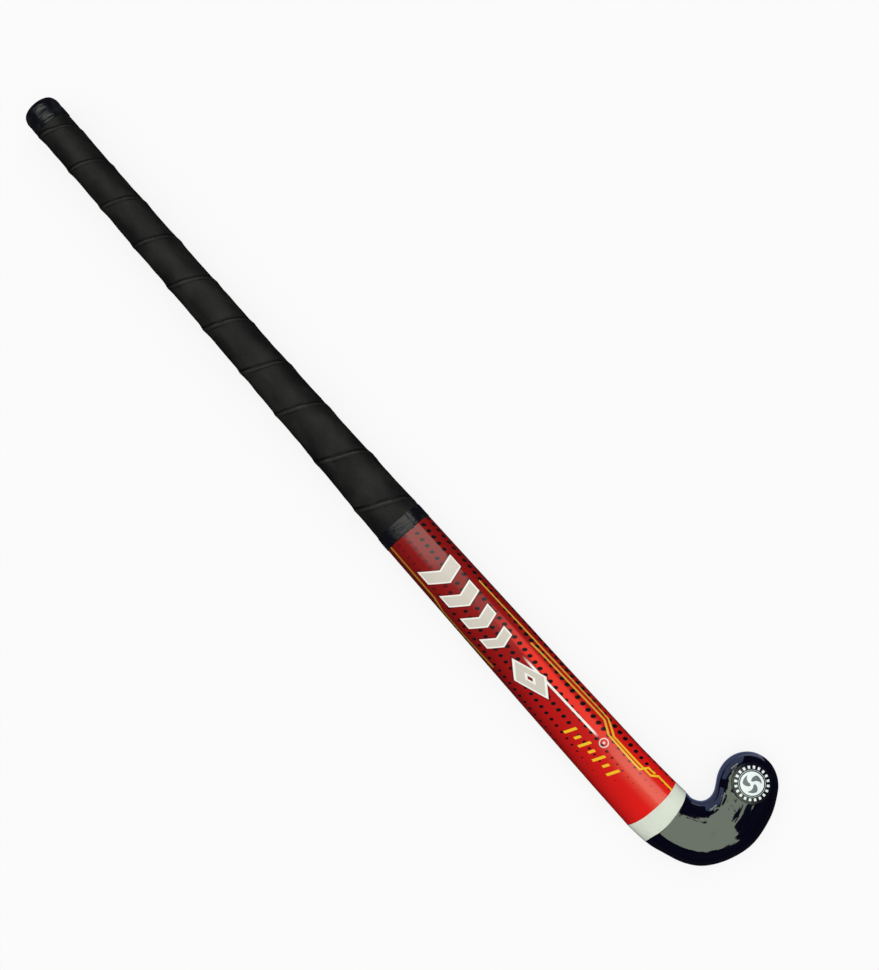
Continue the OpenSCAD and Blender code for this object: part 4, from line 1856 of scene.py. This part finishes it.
@dataclass
class Head:
    """The lacquered hook and the round sticker on its toe.

    The skin's rings are spread evenly along a line that lies the share outer of the way from the middle to the
    heel side. The sticker's middle is so far ahead of the last rib's middle and aside from it, and the sticker
    is dropped on the toe from disc_from above the floor.
    """

    form: StickForm
    sides: int = 120
    outer: float = 0.6
    wall: float = 0.9
    under_band: float = 0.42
    lumps: Lumps = Lumps(((74.0, 1), (41.0, 2), (29.0, -2)), 41)
    lump_h: float = 0.06
    disc_r: float = 16.5
    disc_rings: int = 11
    disc_from: float = 40.0
    disc_ahead: float = 3.6
    disc_aside: float = -1.2
    disc_lift: float = 0.12
    disc_t: float = 0.25
    disc_edge: float = 0.1

    def sections(self, rings: int) -> tuple[list[tuple[Rib, float, float]], np.ndarray]:
        """Spreads sections evenly along the outer edge of the head, then round the toe.

        Args:
            rings: How many sections.

        Returns:
            The sections, and the rib number of each, which goes on past the last rib.
        """
        fine = np.linspace(0.0, self.form.last_rib, 400)
        ribs = [self.form.head_rib(float(u)) for u in fine]
        line = np.array([rib.middle * (1.0 - self.outer) + np.array(rib.heel) * self.outer for rib in ribs])
        way = np.concatenate([[0.0], np.cumsum(np.hypot(*np.diff(line, axis=0).T))])
        toe_way = self.form.toe_length * math.pi / 2.0
        at = np.linspace(0.0, way[-1] + toe_way, rings)
        u = np.interp(at, way, fine)
        past = np.clip((at - way[-1]) / toe_way, 0.0, 1.0)
        ahead = np.sin(past * math.pi / 2.0)
        found = [(self.form.head_rib(float(a)), float(s), float(b)) for a, s, b in zip(u, at, ahead)]
        return found, u + past

    def skin(self) -> bpy.types.Object:
        """Models the lacquered skin, sunk under the band and closed at the toe.

        Returns:
            The skin.
        """
        collar = Collar(self.form)
        tube = Tube("head_lacquer", self.sides, (13, 12))
        sections, u = self.sections(tube.rings)
        grid = Skin.through(sections, self.sides, self.form.toe_length)
        s = np.where(u < 1.0, u * collar.length, collar.length + (u - 1.0) * collar.past)
        past = s[:, None] - (collar.edges(self.sides)[1] - self.form.neck)[None, :]
        turn = np.arange(self.sides)[None, :] / self.sides
        on_back = 1.0 - smooth(np.abs(grid.girth), 20.0, 30.0)
        lift = -self.under_band * (1.0 - smooth(past, -1.4, -0.5))
        # the tip's ring is one point, so nothing may lift its columns apart
        before_tip = 1.0 - smooth(u, self.form.last_rib + 0.6, self.form.last_rib + 0.95)[:, None]
        hollows = self.lump_h * (self.lumps.height(grid.along[:, None], turn) - 1.0)
        lift = lift + hollows * on_back * smooth(past, 1.0, 8.0) * before_tip
        points = grid.ground + (grid.raised - grid.ground) * lift[..., None]
        points[..., 2] = np.maximum(points[..., 2], 0.0)
        along = np.broadcast_to(grid.along[:, None], grid.girth.shape)
        tube.lay(self.form.place(points), along, grid.girth)
        merge_doubles(tube.obj)
        apply_modifier(tube.obj, "SOLIDIFY", thickness=self.wall * MM, offset=-1.0)
        round_off(tube.obj, 60.0)
        return finish_piece(tube.obj, "navy_lacquer", HeadLacquer().material("head_lacquer"), "head_skin")

    def disc(self, head: bpy.types.Object) -> bpy.types.Object:
        """Models the sticker: a disc inset ring by ring, then laid on the toe.

        Args:
            head: The lacquered skin under it.

        Returns:
            The sticker.
        """
        rib = self.form.head_rib(float(self.form.last_rib))
        at = rib.middle + rib.forward * self.disc_ahead + rib.side * self.disc_aside
        centre = self.form.place(np.array([*at, self.disc_from]))
        obj = primitive("toe_disc", bpy.ops.mesh.primitive_circle_add, vertices=72, radius=self.disc_r * MM,
                        fill_type="NGON", location=tuple(centre))
        for _ in range(self.disc_rings):
            with editing(obj, Pick.FACES, np.array([len(face.vertices) > 4 for face in obj.data.polygons])):
                bpy.ops.mesh.inset(thickness=self.disc_r / (self.disc_rings + 1.0) * MM, depth=0.0)
        with editing(obj, Pick.FACES, np.array([len(face.vertices) > 4 for face in obj.data.polygons])):
            bpy.ops.mesh.poke()
        apply_modifier(obj, "SHRINKWRAP", target=head, wrap_method="PROJECT", use_project_z=True,
                       use_negative_direction=True, use_positive_direction=False)
        with editing(obj, Pick.FACES):
            bpy.ops.transform.translate(value=(0.0, 0.0, self.disc_lift * MM))
        apply_modifier(obj, "SOLIDIFY", thickness=self.disc_t * MM, offset=1.0)
        apply_modifier(obj, "BEVEL", width=self.disc_edge * MM, segments=2, limit_method="ANGLE",
                       angle_limit=math.radians(50.0))
        round_off(obj, 35.0)
        return finish_piece(obj, "roundel", DiscPrint().material("toe_disc_print", self.form), "toe_roundel")


@dataclass
class HiddenCore:
    """The pieces under the skins, which stay as the CAD has them and get their own finishes."""

    slips: int = 3
    springs: int = 2
    plies: int = 7

    def dress(self) -> None:
        """Gives every inner node its finish."""
        cane = Timber(srgb(222, 192, 138), srgb(170, 132, 78), 0.9, 0.4)
        mulberry = Timber(srgb(208, 164, 104), srgb(142, 96, 50), 0.5, 0.5)
        finishes = {
            "grip_underlay": Cloth(srgb(158, 156, 148), srgb(96, 94, 88), 1.4, 0.6).material("underlay_cotton"),
            "twine_binding": TwineCord().material("waxed_twine"),
            "glass_sleeve": Cloth(srgb(206, 212, 198), srgb(150, 160, 142), 2.2, 0.12).material("glass_cloth"),
        }
        for i in range(1, self.slips + 1):
            finishes[f"handle_slip_{i}"] = cane.material(f"cane_{i}")
        for i in range(1, self.springs + 1):
            finishes[f"rubber_spring_{i}"] = Rubber().material(f"spring_rubber_{i}")
        for i in range(1, self.plies + 1):
            finishes[f"head_ply_{i}"] = mulberry.material(f"mulberry_{i}")
        for name, material in finishes.items():
            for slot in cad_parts[name].material_slots:
                slot.material = material
            LOG.info("%s: finish %s", name, material.name)


# ---- Studio ----


class Target(Enum):
    """Which pieces a lamp lights."""

    HANDLE = ("butt_plug", "butt_finishing_tape", "grip_spiral", "lower_finishing_tape", "shaft_print",
              "collar_lacquer")
    SHAFT = ("lower_finishing_tape", "shaft_print", "collar_lacquer")
    HEAD = ("head_lacquer", "toe_disc")


class Facing(Enum):
    """Which way a lamp shines, as its turn about Y in degrees."""

    DOWN = 0.0
    HEADWARD = -90.0
    UP = 180.0


@dataclass(frozen=True)
class SoftBox:
    """A flat soft lamp, from X to X, from Y to Y and from Z to Z, in metres, thin along one of them."""

    name: str
    across: tuple[float, float]
    deep: tuple[float, float]
    radiance: float
    target: Target
    up: tuple[float, float] = (1.5, 1.5)
    facing: Facing = Facing.DOWN
    tint: Colour = (0.96, 1.0, 0.9)

    def build(self) -> None:
        """Adds the lamp."""
        lamp = bpy.data.lights.new(self.name, "AREA")
        lamp.shape = "RECTANGLE"
        lamp.size = self.across[1] - self.across[0] + self.up[1] - self.up[0]
        lamp.size_y = self.deep[1] - self.deep[0]
        lamp.energy = self.radiance * math.pi * lamp.size * lamp.size_y
        lamp.color = self.tint
        obj = bpy.data.objects.new(self.name, lamp)
        obj.location = tuple(sum(side) / 2.0 for side in (self.across, self.deep, self.up))
        obj.rotation_euler = (0.0, math.radians(self.facing.value), 0.0)
        obj.visible_camera = False
        bpy.context.scene.collection.objects.link(obj)
        lit = bpy.data.collections.new(f"lit_by_{self.name}")
        for piece in self.target.value:
            lit.objects.link(bpy.data.objects[piece])
        obj.light_linking.receiver_collection = lit


GREY_GREEN: Colour = (0.876, 1.0, 0.77)
BLUE: Colour = (0.43, 0.54, 1.0)
LILAC: Colour = (0.85, 0.8, 1.0)
FLOOR_CARD: tuple[float, float] = (-0.0001, -0.0001)


@dataclass
class Studio:
    """The pale floor, the room's light, the lamps and the camera.

    A head card is a lamp from X to X and from Y to Y in metres. Together they are the pale patch on the
    lacquer.
    """

    floor_size: float = 30.0
    floor_gap: float = 0.0002
    floor_colour: Colour = (0.16, 0.16, 0.16)
    floor_mirrored: Colour = (0.03, 0.03, 0.035)
    floor_seen: Colour = (0.85, 0.85, 0.85)
    room: float = 0.72
    horizon: Colour = (0.03, 0.03, 0.045)
    ceiling: Colour = (0.012, 0.012, 0.02)
    boxes: tuple[SoftBox, ...] = (
        SoftBox("handle_softbox", (-1.2, 0.1), (-0.17, 1.17), 1.9, Target.HANDLE),
        SoftBox("edge_softbox", (-0.09, 0.1), (-0.23, -0.17), 1.3, Target.HANDLE),
        SoftBox("fading_softbox", (-0.09, 0.1), (-0.31, -0.23), 0.8, Target.HANDLE),
        SoftBox("faint_softbox", (-0.09, 0.1), (-0.4, -0.31), 0.4, Target.HANDLE),
        SoftBox("grip_softbox", (-1.2, -0.09), (-0.95, -0.17), 1.3, Target.HANDLE),
        SoftBox("shaft_softbox", (0.1, 0.27), (-0.08, 0.95), 0.8, Target.SHAFT),
        SoftBox("collar_softbox", (0.52, 0.9), (-0.02, 0.62), 1.7, Target.SHAFT),
        SoftBox("blue_wall", (-1.2, -1.2), (-1.2, 1.2), 0.97, Target.HEAD, (0.0, 1.75), Facing.HEADWARD, BLUE),
        SoftBox("blue_floor", (-0.6, 0.358), (-0.5, 0.5), 0.8, Target.HEAD, FLOOR_CARD, Facing.UP, BLUE),
        SoftBox("near_floor", (0.358, 0.385), (-0.05, 0.5), 0.45, Target.HEAD, FLOOR_CARD, Facing.UP, BLUE),
        SoftBox("toe_floor", (0.2, 0.385), (0.066, 0.4), 0.5, Target.HEAD, FLOOR_CARD, Facing.UP, LILAC),
    )
    head_cards: tuple[tuple[float, float, float, float], ...] = (
        (-1.6, -0.85, 0.2, 0.6), (-1.6, -1.1, -0.2, 0.2), (-0.77, -0.55, -0.3, 0.2),
        (-0.55, -0.28, -0.6, -0.15), (-0.28, 0.2, -0.9, -0.2), (0.68, 1.0, -0.64, -0.5),
        (0.6, 1.18, -0.5, -0.4), (0.55, 1.3, -0.4, -0.3), (0.45, 1.45, -0.3, -0.2),
        (-0.28, 1.8, -0.2, -0.1), (-0.28, 1.2, -0.1, 0.02), (-0.22, 0.8, 0.02, 0.12),
        (-0.22, 0.74, 0.12, 0.2), (-0.22, 0.3, 0.2, 0.3), (0.42, 0.74, 0.2, 0.3), (0.05, 0.64, 0.3, 0.42))
    head_radiance: float = 2.45
    lens: float = 49.39
    camera_place: tuple[float, float, float] = (0.15106, 0.00865, 1.11974)
    camera_axes: tuple[tuple[float, ...], ...] = (
        (0.65608, 0.75196, -0.06401), (-0.74853, 0.6592, 0.07174), (0.09614, 0.00084, 0.99537))

    def floor(self) -> None:
        """Adds a pale floor that shows white and keeps the stick's shadow."""
        obj = primitive("floor", bpy.ops.mesh.primitive_plane_add, size=self.floor_size,
                        location=(0.0, 0.0, -self.floor_gap))
        sheet = Sheet("floor_paper", roughness=0.9, specular_ior_level=0.0, emission_strength=1.0)
        path = sheet.node("ShaderNodeLightPath")
        shiny = Value(sheet, path.outputs["Is Glossy Ray"])
        sheet.put(sheet.shader, "Base Color", sheet.mix(shiny, self.floor_colour, self.floor_mirrored))
        seen = Value(sheet, path.outputs["Is Camera Ray"])
        sheet.put(sheet.shader, "Emission Color", sheet.mix(seen, (0.0, 0.0, 0.0), self.floor_seen))
        back = sheet.node("ShaderNodeNewGeometry").outputs["Backfacing"]
        clear = sheet.node("ShaderNodeBsdfTransparent")
        mix = sheet.node("ShaderNodeMixShader", None,
                         {0: back, 1: sheet.shader.outputs[0], 2: clear.outputs[0]})
        output = next(n for n in sheet.tree.nodes if n.type == "OUTPUT_MATERIAL")
        sheet.tree.links.new(mix.outputs[0], output.inputs["Surface"])
        obj.data.materials.append(sheet.material)

    def air(self) -> None:
        """Sets the room: even light, white behind, and a ceiling that is dark in reflections."""
        world = bpy.data.worlds.new("room")
        bpy.context.scene.world = world
        world.use_nodes = True
        world.node_tree.nodes.clear()
        board = Board(world.node_tree)
        path = board.node("ShaderNodeLightPath")
        where = board.node("ShaderNodeTexCoord")
        parts = board.node("ShaderNodeSeparateXYZ", None, {0: where.outputs["Generated"]})
        mirrored = board.mix(Value(board, parts.outputs["Z"]).ramp(0.0, 0.3), self.horizon, self.ceiling)
        even = (self.room, self.room, self.room)
        colour = board.mix(Value(board, path.outputs["Is Glossy Ray"]), even, mirrored)
        colour = board.mix(Value(board, path.outputs["Is Camera Ray"]), colour, (1.0, 1.0, 1.0))
        light = board.node("ShaderNodeBackground", None, {"Color": colour})
        board.node("ShaderNodeOutputWorld", None, {"Surface": light.outputs[0]})

    def camera(self) -> None:
        """Adds the camera above the middle of the shaft."""
        data = bpy.data.cameras.new("camera")
        data.lens = self.lens
        obj = bpy.data.objects.new("camera", data)
        turn = Matrix(self.camera_axes).transposed().to_4x4()
        obj.matrix_world = Matrix.Translation(self.camera_place) @ turn
        bpy.context.scene.collection.objects.link(obj)
        bpy.context.scene.camera = obj

    def build(self) -> None:
        """Sets up everything that isn't the stick."""
        self.floor()
        self.air()
        for box in self.boxes:
            box.build()
        for i, (left, right, low, high) in enumerate(self.head_cards, 1):
            SoftBox(f"head_card_{i}", (left, right), (low, high), self.head_radiance, Target.HEAD,
                    tint=GREY_GREEN).build()
        self.camera()
        bpy.context.scene.view_settings.view_transform = "Standard"


def main() -> None:
    """Builds the stick from the butt to the toe, then the studio."""
    logging.basicConfig(level=logging.INFO, format="%(message)s")
    form = StickForm()
    butt = ButtEnd(form)
    butt.plug()
    butt.tape()
    SpiralGrip(form).build()
    LowerTape(form).build()
    ShaftFilm(form).build()
    CollarBand(form).build()
    head = Head(form)
    head.disc(head.skin())
    HiddenCore().dress()
    Studio().build()


if __name__ == "__main__":
    main()
